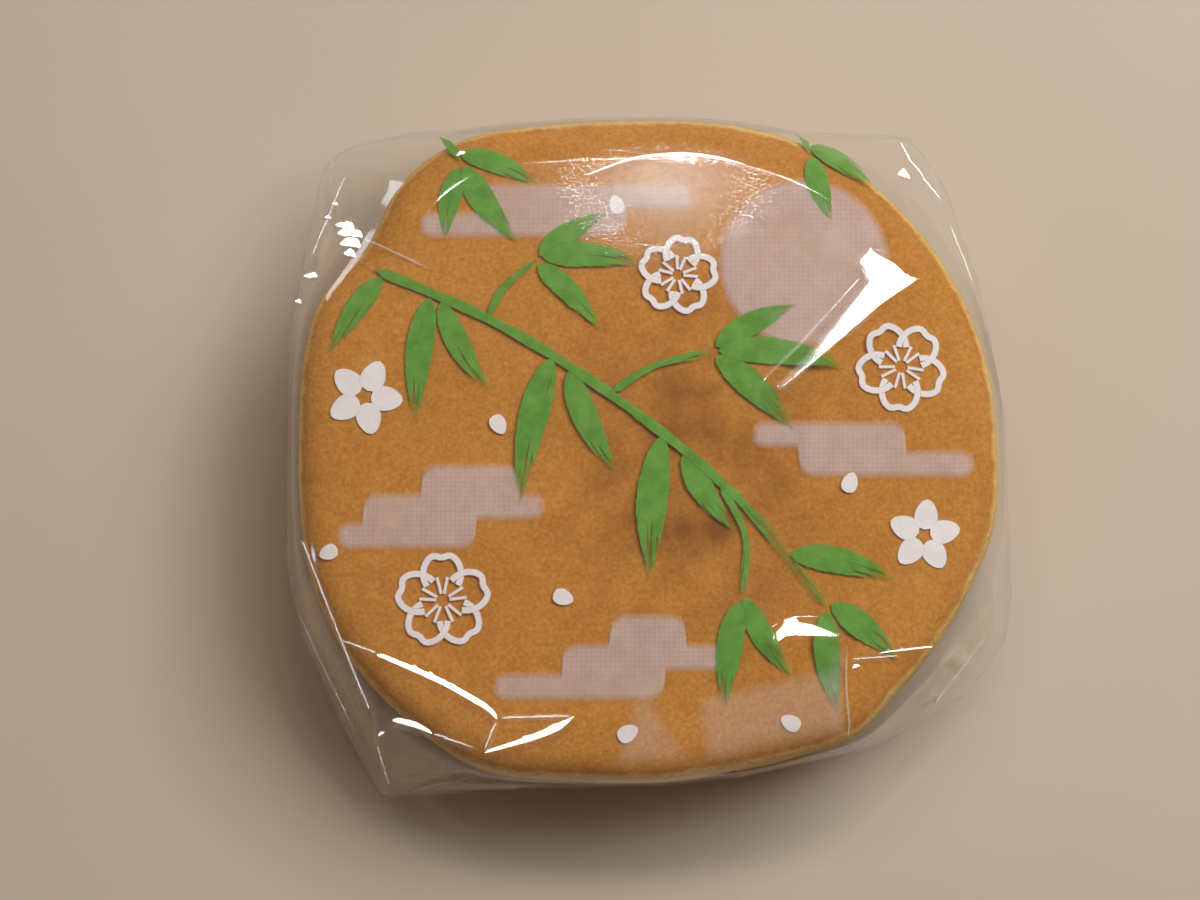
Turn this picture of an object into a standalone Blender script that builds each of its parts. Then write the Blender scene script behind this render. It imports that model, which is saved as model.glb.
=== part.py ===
"""A castella-type manju sealed in its clear film pack, as one closed solid.

The solid is the outer form of the pack: the cake's flat top and round shoulder,
the film's wall, its four corner ears and the flat underside it rests on.
Its faces come from a square grid for the top, rows for the wall and a square
grid for the underside, so no point gathers many thin faces.
+X is the pack's right, +Y its far end and +Z up, with the origin under its middle.
Lengths are in millimetres until the mesh is made in metres.
"""
import math

import bmesh
import bpy

METRES_PER_MM = 0.001

# The cake, seen from above
CAKE_HALF_WIDTH = 32.9
CAKE_HALF_DEPTH = 31.3
# How square each corner is: 2 is an ellipse, larger is squarer
SQUARENESS_BACK_RIGHT = 2.1
SQUARENESS_BACK_LEFT = 2.8
SQUARENESS_FRONT_LEFT = 2.4
SQUARENESS_FRONT_RIGHT = 2.05
# Where the side swells or is flattened: direction and spread in degrees, amount outward
CAKE_SWELLS = (
    (144.0, 9.0, -2.2),
    (120.0, 9.0, 0.6),
    (-54.0, 7.0, 0.8),
    (-76.0, 10.0, -0.4),
    (-118.0, 12.0, 1.2),
    (-12.0, 9.0, 0.45),
)
# The cake's middle, from the middle of the whole pack
CAKE_MIDDLE_X = -0.3
CAKE_MIDDLE_Y = 0.28

# The pack, seen from the side
PACK_HEIGHT = 22.0
TOP_CROWN = 0.7
SHOULDER_RUN = 4.4
SHOULDER_ROUND = 3.4
FILM_GAP_AT_SHOULDER = 0.1
FILM_GAP_AT_WALL = 0.5
FOOT_INSET = 1.6
FOOT_ROUND = 1.2
REST_INSET = 4.6

# The film's outline from the cake's middle, anticlockwise from the right side
FILM_OUTLINE = (
    (35.5, -13.5),
    (34.9, -4.3),
    (34.6, 3.7),
    (32.4, 17.5),
    (29.6, 25.2),
    (25.6, 31.3),
    (10.8, 32.0),
    (-22.6, 31.9),
    (-28.8, 30.1),
    (-31.2, 28.3),
    (-33.3, 21.1),
    (-34.7, 12.8),
    (-34.9, -2.1),
    (-34.9, -11.6),
    (-33.3, -18.8),
    (-30.0, -24.7),
    (-28.1, -27.5),
    (-25.7, -32.4),
    (-4.4, -32.0),
    (8.9, -31.0),
    (22.5, -27.9),
    (30.6, -23.1),
    (34.7, -17.9),
)
OUTLINE_SOFTENING_DEGREES = 1.0

# The film stands out furthest at this height, rounded this much, along a plain side
WALL_HEIGHT = 9.0
WALL_ROUND = 4.5
# Each ear: direction in degrees, spread in degrees, height of its edge, rounding of its edge
EARS = (
    (47.0, 15.0, 11.0, 1.2),
    (136.0, 14.0, 10.5, 0.8),
    (231.6, 12.0, 4.0, 0.35),
    (327.0, 18.0, 7.0, 1.0),
)

# The mesh: squares along a side of each grid, and faces down each stretch of the wall
GRID_SQUARES = 28
SHOULDER_FACES = 5
WALL_FACES = 2
EDGE_FACES = 3
UNDERCUT_FACES = 2
FOOT_FACES = 2

FILM_COLOUR = (0.434, 0.180, 0.042, 1.0)
FILM_ROUGHNESS = 0.25


def clear_scene():
    for existing in list(bpy.data.objects):
        bpy.data.objects.remove(existing, do_unlink=True)


def nearness(angle, direction, spread):
    """1 in the given direction, falling smoothly to 0 away from it, all in degrees but the angle."""
    turn = math.remainder(math.degrees(angle) - direction, 360)
    return math.exp(-((turn / spread) ** 2))


def cake_reach(angle):
    """Distance from the cake's middle to its side, a rounded square that differs by corner."""
    right = (1 + math.cos(angle)) / 2
    back = (1 + math.sin(angle)) / 2
    squareness = (
        right * back * SQUARENESS_BACK_RIGHT
        + (1 - right) * back * SQUARENESS_BACK_LEFT
        + (1 - right) * (1 - back) * SQUARENESS_FRONT_LEFT
        + right * (1 - back) * SQUARENESS_FRONT_RIGHT
    )
    across = abs(math.cos(angle)) / CAKE_HALF_WIDTH
    along = abs(math.sin(angle)) / CAKE_HALF_DEPTH
    reach = (across ** squareness + along ** squareness) ** (-1 / squareness)
    for direction, spread, amount in CAKE_SWELLS:
        reach += amount * nearness(angle, direction, spread)
    return reach


def outline_reach(angle):
    """Distance from the cake's middle to the film's straight-sided outline."""
    step_x = math.cos(angle)
    step_y = math.sin(angle)
    for start, end in zip(FILM_OUTLINE, FILM_OUTLINE[1:] + FILM_OUTLINE[:1]):
        side_x = end[0] - start[0]
        side_y = end[1] - start[1]
        facing = step_x * side_y - step_y * side_x
        if facing <= 0:
            continue
        along_side = (step_y * start[0] - step_x * start[1]) / facing
        if 0 <= along_side <= 1:
            return (start[0] * side_y - start[1] * side_x) / facing
    raise ValueError("the film's outline is open")


def film_reach(angle):
    """Distance to the film's outermost edge: the softened outline, never inside the cake."""
    turn = math.radians(OUTLINE_SOFTENING_DEGREES)
    outline = (outline_reach(angle - turn) + 2 * outline_reach(angle) + outline_reach(angle + turn)) / 4
    return max(outline, cake_reach(angle) + FILM_GAP_AT_WALL)


def edge_height_and_round(angle):
    """Height and rounding of the outermost edge, which drop and sharpen at the ears."""
    height = WALL_HEIGHT
    rounding = WALL_ROUND
    for direction, spread, ear_height, ear_round in EARS:
        share = nearness(angle, direction, spread)
        height += (ear_height - WALL_HEIGHT) * share
        rounding += (ear_round - WALL_ROUND) * share
    return height, max(rounding, 0.2)


def wall_corners(angle):
    """The wall's profile as (distance, height, rounding), from the top's rim to the flat base."""
    cake = cake_reach(angle)
    edge_height, edge_round = edge_height_and_round(angle)
    rim = cake - SHOULDER_RUN
    rim_height = PACK_HEIGHT - TOP_CROWN
    crown_slope = 2 * TOP_CROWN / rim
    shoulder = cake + FILM_GAP_AT_SHOULDER
    return (
        (rim, rim_height, 0.0),
        (shoulder, rim_height - crown_slope * (shoulder - rim), SHOULDER_ROUND),
        (film_reach(angle), edge_height, edge_round),
        (cake - FOOT_INSET, 0.0, FOOT_ROUND),
        (cake - REST_INSET, 0.0, 0.0),
    )


def toward(start, end, distance):
    """The point that far from start on the straight way to end."""
    share = distance / math.dist(start, end)
    return (start[0] + (end[0] - start[0]) * share, start[1] + (end[1] - start[1]) * share)


def between(start, end, faces):
    """Points after start, up to and with end, evenly spaced."""
    length = math.dist(start, end)
    return [toward(start, end, length * step / faces) for step in range(1, faces + 1)]


def rounded(corner, before, after, size, faces):
    """Points round a corner, from before it to after it, on a smooth curve."""
    start = toward(corner, before, size)
    end = toward(corner, after, size)
    points = []
    for step in range(faces + 1):
        share = step / faces
        points.append(tuple(
            (1 - share) ** 2 * start[axis]
            + 2 * share * (1 - share) * corner[axis]
            + share ** 2 * end[axis]
            for axis in (0, 1)
        ))
    return points


def wall_profile(angle):
    """Points down the wall in one direction, without the rim point that the top's grid gives."""
    rim, shoulder, edge, foot, rest = wall_corners(angle)
    shoulder_curve = rounded(shoulder[:2], rim[:2], edge[:2], shoulder[2], SHOULDER_FACES)
    edge_curve = rounded(edge[:2], shoulder[:2], foot[:2], edge[2], EDGE_FACES)
    foot_curve = rounded(foot[:2], edge[:2], rest[:2], foot[2], FOOT_FACES)
    points = list(shoulder_curve)
    points += between(shoulder_curve[-1], edge_curve[0], WALL_FACES)
    points += edge_curve[1:]
    points += between(edge_curve[-1], foot_curve[0], UNDERCUT_FACES)
    points += foot_curve[1:]
    return points


def disc_position(column, row):
    """Where a grid point lands on a round disc, as its angle and its distance from 0 to 1."""
    across = 2 * column / GRID_SQUARES - 1
    along = 2 * row / GRID_SQUARES - 1
    disc_x = across * math.sqrt(1 - along ** 2 / 2)
    disc_y = along * math.sqrt(1 - across ** 2 / 2)
    return math.atan2(disc_y, disc_x), math.hypot(disc_x, disc_y)


def add_point(mesh, angle, distance, height):
    across = CAKE_MIDDLE_X + distance * math.cos(angle)
    along = CAKE_MIDDLE_Y + distance * math.sin(angle)
    return mesh.verts.new((
        across * METRES_PER_MM,
        along * METRES_PER_MM,
        height * METRES_PER_MM,
    ))


def add_top(mesh):
    """The top's grid, crowned by a little and ending at the shoulder's rim."""
    points = {}
    for column in range(GRID_SQUARES + 1):
        for row in range(GRID_SQUARES + 1):
            angle, share = disc_position(column, row)
            rim = cake_reach(angle) - SHOULDER_RUN
            height = PACK_HEIGHT - TOP_CROWN * share ** 2
            points[column, row] = add_point(mesh, angle, rim * share, height)
    return points


def add_underside(mesh):
    """The flat underside's grid, ending where the film starts to turn up."""
    points = {}
    for column in range(GRID_SQUARES + 1):
        for row in range(GRID_SQUARES + 1):
            angle, share = disc_position(column, row)
            rest = cake_reach(angle) - REST_INSET
            points[column, row] = add_point(mesh, angle, rest * share, 0.0)
    return points


def grid_border():
    """The border of a grid, anticlockwise, as columns and rows."""
    last = GRID_SQUARES
    front = [(step, 0) for step in range(last)]
    right = [(last, step) for step in range(last)]
    back = [(last - step, last) for step in range(last)]
    left = [(0, last - step) for step in range(last)]
    return front + right + back + left


def fill_grid(mesh, points, facing_up):
    for column in range(GRID_SQUARES):
        for row in range(GRID_SQUARES):
            corners = [
                points[column, row],
                points[column + 1, row],
                points[column + 1, row + 1],
                points[column, row + 1],
            ]
            if not facing_up:
                corners.reverse()
            mesh.faces.new(corners)


def fill_wall(mesh, top, underside):
    """The wall between the two grids, one column of faces for each border point."""
    border = grid_border()
    columns = []
    for place in border:
        angle, _ = disc_position(*place)
        inner_points = [add_point(mesh, angle, *point) for point in wall_profile(angle)[:-1]]
        columns.append([top[place]] + inner_points + [underside[place]])
    for first, second in zip(columns, columns[1:] + columns[:1]):
        for row in range(len(first) - 1):
            mesh.faces.new((first[row], first[row + 1], second[row + 1], second[row]))


def film_material():
    material = bpy.data.materials.new("film_over_crust")
    material.use_nodes = True
    surface = material.node_tree.nodes["Principled BSDF"]
    surface.inputs["Base Color"].default_value = FILM_COLOUR
    surface.inputs["Roughness"].default_value = FILM_ROUGHNESS
    surface.inputs["Metallic"].default_value = 0.0
    return material


def build_pack():
    mesh = bmesh.new()
    top = add_top(mesh)
    underside = add_underside(mesh)
    fill_grid(mesh, top, facing_up=True)
    fill_grid(mesh, underside, facing_up=False)
    fill_wall(mesh, top, underside)
    mesh.normal_update()
    data = bpy.data.meshes.new("wrapped_manju")
    mesh.to_mesh(data)
    mesh.free()
    data.shade_smooth()
    pack = bpy.data.objects.new("wrapped_manju", data)
    pack.data.materials.append(film_material())
    bpy.context.scene.collection.objects.link(pack)
    return pack


def main():
    clear_scene()
    build_pack()


main()
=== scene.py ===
"""The look of a castella-type manju sealed in a clear printed film pack.

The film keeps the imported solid's outer form and adds its creases and folds.
Inside it are the cake's browned crust, its pale side and its base, and on the
film's inner face is a generic print of bamboo, blossoms and haze.
Sizes are in millimetres until a mesh is made in metres.
"""
import math

import bpy
import numpy as np
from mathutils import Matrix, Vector, noise
from mathutils.bvhtree import BVHTree


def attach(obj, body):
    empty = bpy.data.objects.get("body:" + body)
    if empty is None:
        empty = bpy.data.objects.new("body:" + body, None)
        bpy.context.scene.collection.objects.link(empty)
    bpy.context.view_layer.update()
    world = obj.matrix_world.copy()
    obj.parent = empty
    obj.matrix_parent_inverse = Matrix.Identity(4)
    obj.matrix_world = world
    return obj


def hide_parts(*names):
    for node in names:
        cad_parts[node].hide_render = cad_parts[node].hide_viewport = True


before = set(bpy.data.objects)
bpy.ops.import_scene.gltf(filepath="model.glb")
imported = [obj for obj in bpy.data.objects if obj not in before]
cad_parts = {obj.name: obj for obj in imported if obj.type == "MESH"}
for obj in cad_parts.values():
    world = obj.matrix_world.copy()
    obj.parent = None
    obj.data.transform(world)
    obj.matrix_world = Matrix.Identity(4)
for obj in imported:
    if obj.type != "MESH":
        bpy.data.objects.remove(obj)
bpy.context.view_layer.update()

METRES_PER_MM = 0.001
SEED = 20261130

# The cake, seen from above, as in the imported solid
CAKE_HALF_WIDTH = 32.9
CAKE_HALF_DEPTH = 31.3
SQUARENESS_BACK_RIGHT = 2.1
SQUARENESS_BACK_LEFT = 2.8
SQUARENESS_FRONT_LEFT = 2.4
SQUARENESS_FRONT_RIGHT = 2.05
# Swells of its outline as (direction, spread, amount)
CAKE_SWELLS = (
    (144.0, 9.0, -2.2),
    (120.0, 9.0, 0.6),
    (-54.0, 7.0, 0.8),
    (-76.0, 10.0, -0.4),
    (-118.0, 12.0, 1.2),
    (-12.0, 9.0, 0.45),
)
CAKE_MIDDLE = np.array((-0.3, 0.28, 0.0))

# The pack, seen from the side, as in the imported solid
PACK_HEIGHT = 22.0
TOP_CROWN = 0.7
SHOULDER_RUN = 4.4
SHOULDER_ROUND = 3.4
FILM_GAP_AT_SHOULDER = 0.1
FILM_GAP_AT_WALL = 0.5
FOOT_INSET = 1.6
FOOT_ROUND = 1.2
REST_INSET = 4.6
FILM_OUTLINE = (
    (35.5, -13.5), (34.9, -4.3), (34.6, 3.7), (32.4, 17.5), (29.6, 25.2), (25.6, 31.3),
    (10.8, 32.0), (-22.6, 31.9), (-28.8, 30.1), (-31.2, 28.3), (-33.3, 21.1), (-34.7, 12.8),
    (-34.9, -2.1), (-34.9, -11.6), (-33.3, -18.8), (-30.0, -24.7), (-28.1, -27.5), (-25.7, -32.4),
    (-4.4, -32.0), (8.9, -31.0), (22.5, -27.9), (30.6, -23.1), (34.7, -17.9),
)
OUTLINE_SOFTENING_DEGREES = 1.0
WALL_HEIGHT = 9.0
WALL_ROUND = 4.5
# Ears as (direction, spread, height of the edge, rounding of the edge)
EARS = (
    (47.0, 15.0, 11.0, 1.2),
    (136.0, 14.0, 10.5, 0.8),
    (231.6, 12.0, 4.0, 0.35),
    (327.0, 18.0, 7.0, 1.0),
)

# The film droops behind a crease along the back's rim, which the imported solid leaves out: its slope, and
# the sines of the directions where the droop starts and is full
DROOP_SLOPE = 0.14
DROOP_FROM = 0.3
DROOP_FULL = 0.6

# The film's fine mesh, and the height of its underside over the folded seals
FILM_SQUARES = 224
FILM_TOP_ROWS = 4
FILM_SHOULDER_ROWS = 13
FILM_SHOULDER_CROWDING = 1.35
FILM_WALL_ROWS = 15
FILM_EDGE_ROWS = 7
FILM_UNDERCUT_ROWS = 6
FILM_FOOT_ROWS = 4
FILM_UNDERSIDE = 0.36
UNDERSIDE_RINGS = 5

# The cake inside, whose side bulges past its browned lip
CAKE_SQUARES = 200
CAKE_STRAIGHT_ROWS = 3
CRUST_CURVE_ROWS = 14
CRUMB_ROWS = 30
BASE_CURVE_ROWS = 10
CAKE_TOP = 21.5
CAKE_CROWN = 0.45
CAKE_RIM_INSET = 4.8
CAKE_SHOULDER_INSET = 0.15
CAKE_SHOULDER_DROP = 0.8
CAKE_SHOULDER_ROUND = 3.2
LIP_INSET = 0.12
LIP_HEIGHT = 16.9
BULGE_INSET = 0.10
BULGE_HEIGHT = 12.0
BASE_LIP_INSET = 0.7
BASE_LIP_HEIGHT = 5.0
BASE_FOOT_INSET = 1.1
BASE_FOOT_ROUND = 3.0
BASE_REST_INSET = 5.0
CAKE_UNDERSIDE = 0.55

# The crust's pale edge: where it starts, how soon it is full, and how much lower it starts in places.
# Towards the front left it starts lower as painted light: a wider pale lip that lightens the rim lying in
# shade there.
PALE_FROM_HEIGHT = 20.1
PALE_RUN = 0.8
PAINTED_LIGHT_PALE_DROP = 0.35
PAINTED_LIGHT_PALE_DIRECTION = 215
PAINTED_LIGHT_PALE_SPREAD = 75
PALE_DROOP_RUN = 3.4
BASE_PALE_RUN = 1.4

# Heights of the cake's fine relief, which fades out towards the lips and the underside
GRAIN_LIFT = 0.035
LUMP_LIFT = 0.05
BROAD_LIFT = 0.06
STAIN_DIP = 0.10
TOUCH_LIFT = 0.10
PORE_LIFT = 0.16
CRUMB_LIFT = 0.06
BASE_GRAIN_LIFT = 0.04
SEAM_FADE = 1.2
UNDERSIDE_FADE = 0.5

# Places on the top from the cake's middle: the stain over the filling, the film that lies on the crust,
# and the soft sheen along the left of the raised fold at the back right
STAIN_MIDDLE = np.array((4.0, -3.5))
STAIN_SPREAD = np.array((9.5, 14.5))
TOUCH_MIDDLE = np.array((1.6, 23.6))
TOUCH_SPREAD = np.array((6.2, 4.4))
SHEEN_ENDS = np.array(((18.4, 18.6), (12.4, 4.6)))
SHEEN_REACH = 2.2
SHEEN_SHARE = 0.5

# The window lamps, from the middle of the underside, and the camera over the pack
WINDOW_DIRECTIONS = ((0.02, 0.386, 0.922), (0.145, 0.38, 0.914), (-0.208, 0.38, 0.901))
WINDOW_DISTANCE = 600.0
CAMERA_ELEVATION = math.radians(84.0)
CAMERA_DISTANCE = 360.0
CAMERA_TARGET_MM = CAKE_MIDDLE + (-4.47, -0.15, 17.0)
CAMERA_WAY = np.array((0, -math.cos(CAMERA_ELEVATION), math.sin(CAMERA_ELEVATION)))
CAMERA_PLACE_MM = CAMERA_TARGET_MM + CAMERA_WAY * CAMERA_DISTANCE
PHOTO_WIDTH_MM = 112.9


def nearness(angle, direction, spread):
    """1 in the given direction, falling smoothly to 0 away from it."""
    turn = (np.degrees(angle) - direction + 180) % 360 - 180
    return np.exp(-((turn / spread) ** 2))


def cake_reach(angle):
    """Distance from the cake's middle to its side, a rounded square that differs by corner."""
    right = (1 + np.cos(angle)) / 2
    back = (1 + np.sin(angle)) / 2
    squareness = (
        right * back * SQUARENESS_BACK_RIGHT
        + (1 - right) * back * SQUARENESS_BACK_LEFT
        + (1 - right) * (1 - back) * SQUARENESS_FRONT_LEFT
        + right * (1 - back) * SQUARENESS_FRONT_RIGHT
    )
    across = np.abs(np.cos(angle)) / CAKE_HALF_WIDTH
    along = np.abs(np.sin(angle)) / CAKE_HALF_DEPTH
    reach = (across ** squareness + along ** squareness) ** (-1 / squareness)
    for direction, spread, amount in CAKE_SWELLS:
        reach = reach + amount * nearness(angle, direction, spread)
    return reach


def outline_reach(angle):
    """Distance from the cake's middle to the film's straight-sided outline."""
    step_x = np.cos(angle)
    step_y = np.sin(angle)
    reach = np.zeros_like(step_x)
    for start, end in zip(FILM_OUTLINE, FILM_OUTLINE[1:] + FILM_OUTLINE[:1]):
        side_x = end[0] - start[0]
        side_y = end[1] - start[1]
        facing = step_x * side_y - step_y * side_x
        safe = np.where(facing > 0, facing, 1.0)
        along = (step_y * start[0] - step_x * start[1]) / safe
        crossed = (facing > 0) & (along >= 0) & (along <= 1)
        reach = np.where(crossed, (start[0] * side_y - start[1] * side_x) / safe, reach)
    return reach


def film_reach(angle):
    """Distance to the film's outermost edge: the softened outline, never inside the cake."""
    turn = math.radians(OUTLINE_SOFTENING_DEGREES)
    outline = (outline_reach(angle - turn) + 2 * outline_reach(angle) + outline_reach(angle + turn)) / 4
    return np.maximum(outline, cake_reach(angle) + FILM_GAP_AT_WALL)


def back_droop(angle, run):
    """How far the shoulder droops behind the crease along the back's rim, after a run from it."""
    return DROOP_SLOPE * run * np.clip((np.sin(angle) - DROOP_FROM) / (DROOP_FULL - DROOP_FROM), 0, 1)


def edge_height_and_round(angle):
    """Height and rounding of the outermost edge, which drop and sharpen at the ears."""
    height = np.full_like(angle, WALL_HEIGHT)
    rounding = np.full_like(angle, WALL_ROUND)
    for direction, spread, ear_height, ear_round in EARS:
        share = nearness(angle, direction, spread)
        height += (ear_height - WALL_HEIGHT) * share
        rounding += (ear_round - WALL_ROUND) * share
    return height, np.maximum(rounding, 0.2)


def side_points(distance, height):
    """A point of the profile for each direction, from its distance and its height."""
    return np.stack(np.broadcast_arrays(distance, height), axis=-1).astype(float)


def between(start, end, rows):
    """Rows after start, up to and with end, evenly spaced."""
    return [start + (end - start) * step / rows for step in range(1, rows + 1)]


def curved(start, corner, end, rows, crowding=1.0):
    """Rows from start to end on a smooth curve drawn to a corner.
    A crowding over 1 sets the first rows closer together."""
    points = []
    for step in range(rows + 1):
        share = (step / rows) ** crowding
        points.append((1 - share) ** 2 * start + 2 * share * (1 - share) * corner + share ** 2 * end)
    return points


def toward(start, end, distance):
    """Points at a distance from start on the way to end."""
    share = distance / np.linalg.norm(end - start, axis=-1)
    return start + (end - start) * share[..., None]


def rounded_path(start, corners, end):
    """Rows after start towards end, past corners given as (point, size of its rounding, rows on the
    straight way to it, rows round it, crowding of those)."""
    rows = [start]
    ways = [start] + [corner[0] for corner in corners] + [end]
    for before, (corner, size, straight_rows, curve_rows, crowding), after in zip(ways, corners, ways[2:]):
        bend = toward(corner, before, size), corner, toward(corner, after, size)
        curve = curved(*bend, curve_rows, crowding)
        rows += between(rows[-1], curve[0], straight_rows) + curve[1:]
    return rows[1:]


def film_profile(angle):
    """Rows down the film's wall, from just after the top's rim to the edge of the flat underside."""
    cake = cake_reach(angle)
    edge_height, edge_round = edge_height_and_round(angle)
    rim_distance = cake - SHOULDER_RUN
    rim_height = PACK_HEIGHT - TOP_CROWN
    shoulder_distance = cake + FILM_GAP_AT_SHOULDER
    shoulder_drop = 2 * TOP_CROWN / rim_distance * (shoulder_distance - rim_distance)
    shoulder_drop += back_droop(angle, shoulder_distance - rim_distance)
    shoulder = side_points(shoulder_distance, rim_height - shoulder_drop)
    edge = side_points(film_reach(angle), edge_height)
    foot = side_points(cake - FOOT_INSET, FILM_UNDERSIDE)
    corners = (
        (shoulder, SHOULDER_ROUND, FILM_TOP_ROWS, FILM_SHOULDER_ROWS, FILM_SHOULDER_CROWDING),
        (edge, edge_round, FILM_WALL_ROWS, FILM_EDGE_ROWS, 1),
        (foot, FOOT_ROUND, FILM_UNDERCUT_ROWS, FILM_FOOT_ROWS, 1),
    )
    rest = side_points(cake - REST_INSET, FILM_UNDERSIDE)
    return rounded_path(side_points(rim_distance, rim_height), corners, rest)


def disc_grid(squares):
    """Angle and distance from 0 to 1 of each point of a grid laid on a round disc, finer at its rim."""
    even = np.linspace(-1, 1, squares + 1)
    steps = even * (1.22 - 0.22 * even ** 2)
    across, along = np.meshgrid(steps, steps, indexing="ij")
    disc_x = across * np.sqrt(1 - along ** 2 / 2)
    disc_y = along * np.sqrt(1 - across ** 2 / 2)
    return np.arctan2(disc_y, disc_x), np.hypot(disc_x, disc_y)


def grid_border(squares):
    """Index pairs round the border of a grid, anticlockwise."""
    steps = np.arange(squares)
    last = np.full(squares, squares)
    zero = np.zeros(squares, int)
    columns = np.concatenate((steps, last, squares - steps, zero))
    rows = np.concatenate((zero, steps, last, squares - steps))
    return columns, rows


def place(angle, distance, height):
    """Points in the pack's frame from polar ones about the cake's middle."""
    across = distance * np.cos(angle)
    along = distance * np.sin(angle)
    return np.stack(np.broadcast_arrays(across, along, height), axis=-1) + CAKE_MIDDLE


def placed(angle, rows):
    """Rows of a profile round the cake, as points in the pack's frame."""
    return [place(angle, row[:, 0], row[:, 1]) for row in rows]


def new_mesh_object(name, points, faces):
    """A smooth mesh object from points in millimetres."""
    mesh = bpy.data.meshes.new(name)
    mesh.from_pydata((points * METRES_PER_MM).tolist(), [], faces)
    mesh.validate()
    mesh.shade_smooth()
    made = bpy.data.objects.new(name, mesh)
    bpy.context.scene.collection.objects.link(made)
    return made


def grid_part(grid, facing_up=True):
    """The points of a grid as one list, and its quads."""
    index = np.arange(grid.shape[0] * grid.shape[1]).reshape(grid.shape[:2])
    quads = np.stack((index[:-1, :-1], index[1:, :-1], index[1:, 1:], index[:-1, 1:]), axis=-1)
    quads = quads.reshape(-1, 4)
    return grid.reshape(-1, grid.shape[2]), quads if facing_up else quads[:, ::-1]


def joined(name, parts):
    """One mesh object from parts of points and quads."""
    quads = []
    count = 0
    for points, part_quads in parts:
        quads += (part_quads + count).tolist()
        count += len(points)
    return new_mesh_object(name, np.concatenate([points for points, _ in parts]), quads)


def shell(name, squares, top=None, rows=(), closed=False):
    """A mesh from a top grid and rows round the wall, the last of them closed by a flat face if asked."""
    points = []
    quads = []
    rings = []
    if top is not None:
        columns, lines = grid_border(squares)
        top_points, top_quads = grid_part(top)
        points.append(top_points)
        quads += top_quads.tolist()
        rings.append(columns * (squares + 1) + lines)
    count = sum(map(len, points))
    for row in rows:
        points.append(row)
        rings.append(count + np.arange(len(row)))
        count += len(row)
    for upper, lower in zip(rings[:-1], rings[1:]):
        quads += np.stack((upper, lower, np.roll(lower, -1), np.roll(upper, -1)), axis=-1).tolist()
    if closed:
        quads.append(rings[-1][::-1].tolist())
    return new_mesh_object(name, np.concatenate(points), quads)


def mesh_points(made):
    """The points of a mesh object in millimetres, and its normals."""
    mesh = made.data
    points = np.empty(len(mesh.vertices) * 3)
    normals = np.empty(len(mesh.vertices) * 3)
    mesh.vertices.foreach_get("co", points)
    mesh.vertex_normals.foreach_get("vector", normals)
    return points.reshape(-1, 3) / METRES_PER_MM, normals.reshape(-1, 3)


def set_mesh_points(made, points):
    """Moves the points of a mesh object to places in millimetres."""
    made.data.vertices.foreach_set("co", (points * METRES_PER_MM).ravel())
    made.data.update()


def add_attribute(made, name, values):
    """A number for each point, which the material reads."""
    attribute = made.data.attributes.new(name, "FLOAT", "POINT")
    attribute.data.foreach_set("value", np.asarray(values, np.float32))


def fractal(points, scale, octaves, offset=0.0):
    """Smooth noise from about -1 to 1 at points in millimetres; scale is the size of its lumps."""
    values = np.empty(len(points))
    for number, point in enumerate(points / scale + offset):
        values[number] = noise.fractal(Vector(point), 1.0, 2.0, octaves)
    return values


def smooth_step(value):
    """0 up to 0 and 1 from 1 on, with a smooth rise between."""
    part = np.clip(value, 0, 1)
    return part * part * (3 - 2 * part)


def smooth_max(first, second, size):
    """The larger of two heights, with their meeting line rounded over a size."""
    blend = np.clip(0.5 + (first - second) / (2 * size), 0, 1)
    return second + (first - second) * blend + size * blend * (1 - blend)


def along_line(points, start, end):
    """Share of the way along a line for each point, and the way to the point from its nearest place."""
    along = np.subtract(end, start)
    share = np.clip((points - start) @ along / (along @ along), 0, 1)
    return share, points - start - share[:, None] * along


def distance_along(line):
    """How far each point of a line is from its start, along it."""
    return np.concatenate(((0,), np.cumsum(np.linalg.norm(np.diff(line, axis=0), axis=1))))


def from_middle(points):
    """Places of points seen from above, from the cake's middle."""
    return points[:, :2] - CAKE_MIDDLE[:2]


# Film

def on_top(across, along):
    """The film's upper surface over a point given from the cake's middle."""
    angle = np.array([math.atan2(along, across)])
    distance = math.hypot(across, along)
    rim = (cake_reach(angle) - SHOULDER_RUN)[0]
    if distance <= rim:
        height = PACK_HEIGHT - TOP_CROWN * (distance / rim) ** 2
    else:
        rows = np.array([row[0] for row in film_profile(angle)])
        upper = rows[: int(np.argmax(rows[:, 0])) + 1]
        height = np.interp(distance, upper[:, 0], upper[:, 1])
    return np.array((across, along, height)) + CAKE_MIDDLE


def on_wall(direction, height):
    """The film's wall in a direction in degrees, at a height between the underside and the shoulder."""
    angle = np.array([math.radians(direction)])
    rows = np.array([row[0] for row in film_profile(angle)])
    widest = int(np.argmax(rows[:, 0]))
    if height >= rows[widest, 1]:
        part = rows[: widest + 1][::-1]
    else:
        part = rows[widest:][::-1]
    distance = np.interp(height, part[:, 1], part[:, 0])
    return place(angle[0], distance, height)


# Flat faces of folds that mirror the window, as (parts, lift, sideways slope, fall outside them, width of
# the soft left edge, rounding). Each part has its corners anticlockwise from the cake's middle. The lift is
# the height over the smooth film at the first corner, and the parts of one face share one plane.
LIT_FACES = (
    # the raised fold at the back right
    (
        (
            ((25.5, 15.4), (19.3, 19.2), (20.9, 15.2), (21.9, 12.9)),
            ((21.9, 12.9), (20.9, 15.2), (15.2, 8.2), (15.8, 7.5)),
            ((15.8, 7.5), (15.2, 8.2), (12.3, 5.2), (12.6, 4.9)),
        ),
        0.90, -0.062, 0.36, 0.5, 0.05,
    ),
    # a small bright face at the front right
    (
        (
            ((12.8, -18.1), (15.2, -18.2), (15.3, -16.6), (14.2, -16.4)),
            ((15.2, -18.2), (17.4, -18.2), (17.8, -17.7), (15.3, -16.6)),
        ),
        0.47, -0.030, 0.40, 1.4, 0.04,
    ),
)
# How much a face's slope changes half way over its soft edge, and how much the way out of a face points
# to the left where its soft edge starts
FACE_BEND = 0.015
LEFTWARD = 0.4
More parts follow.
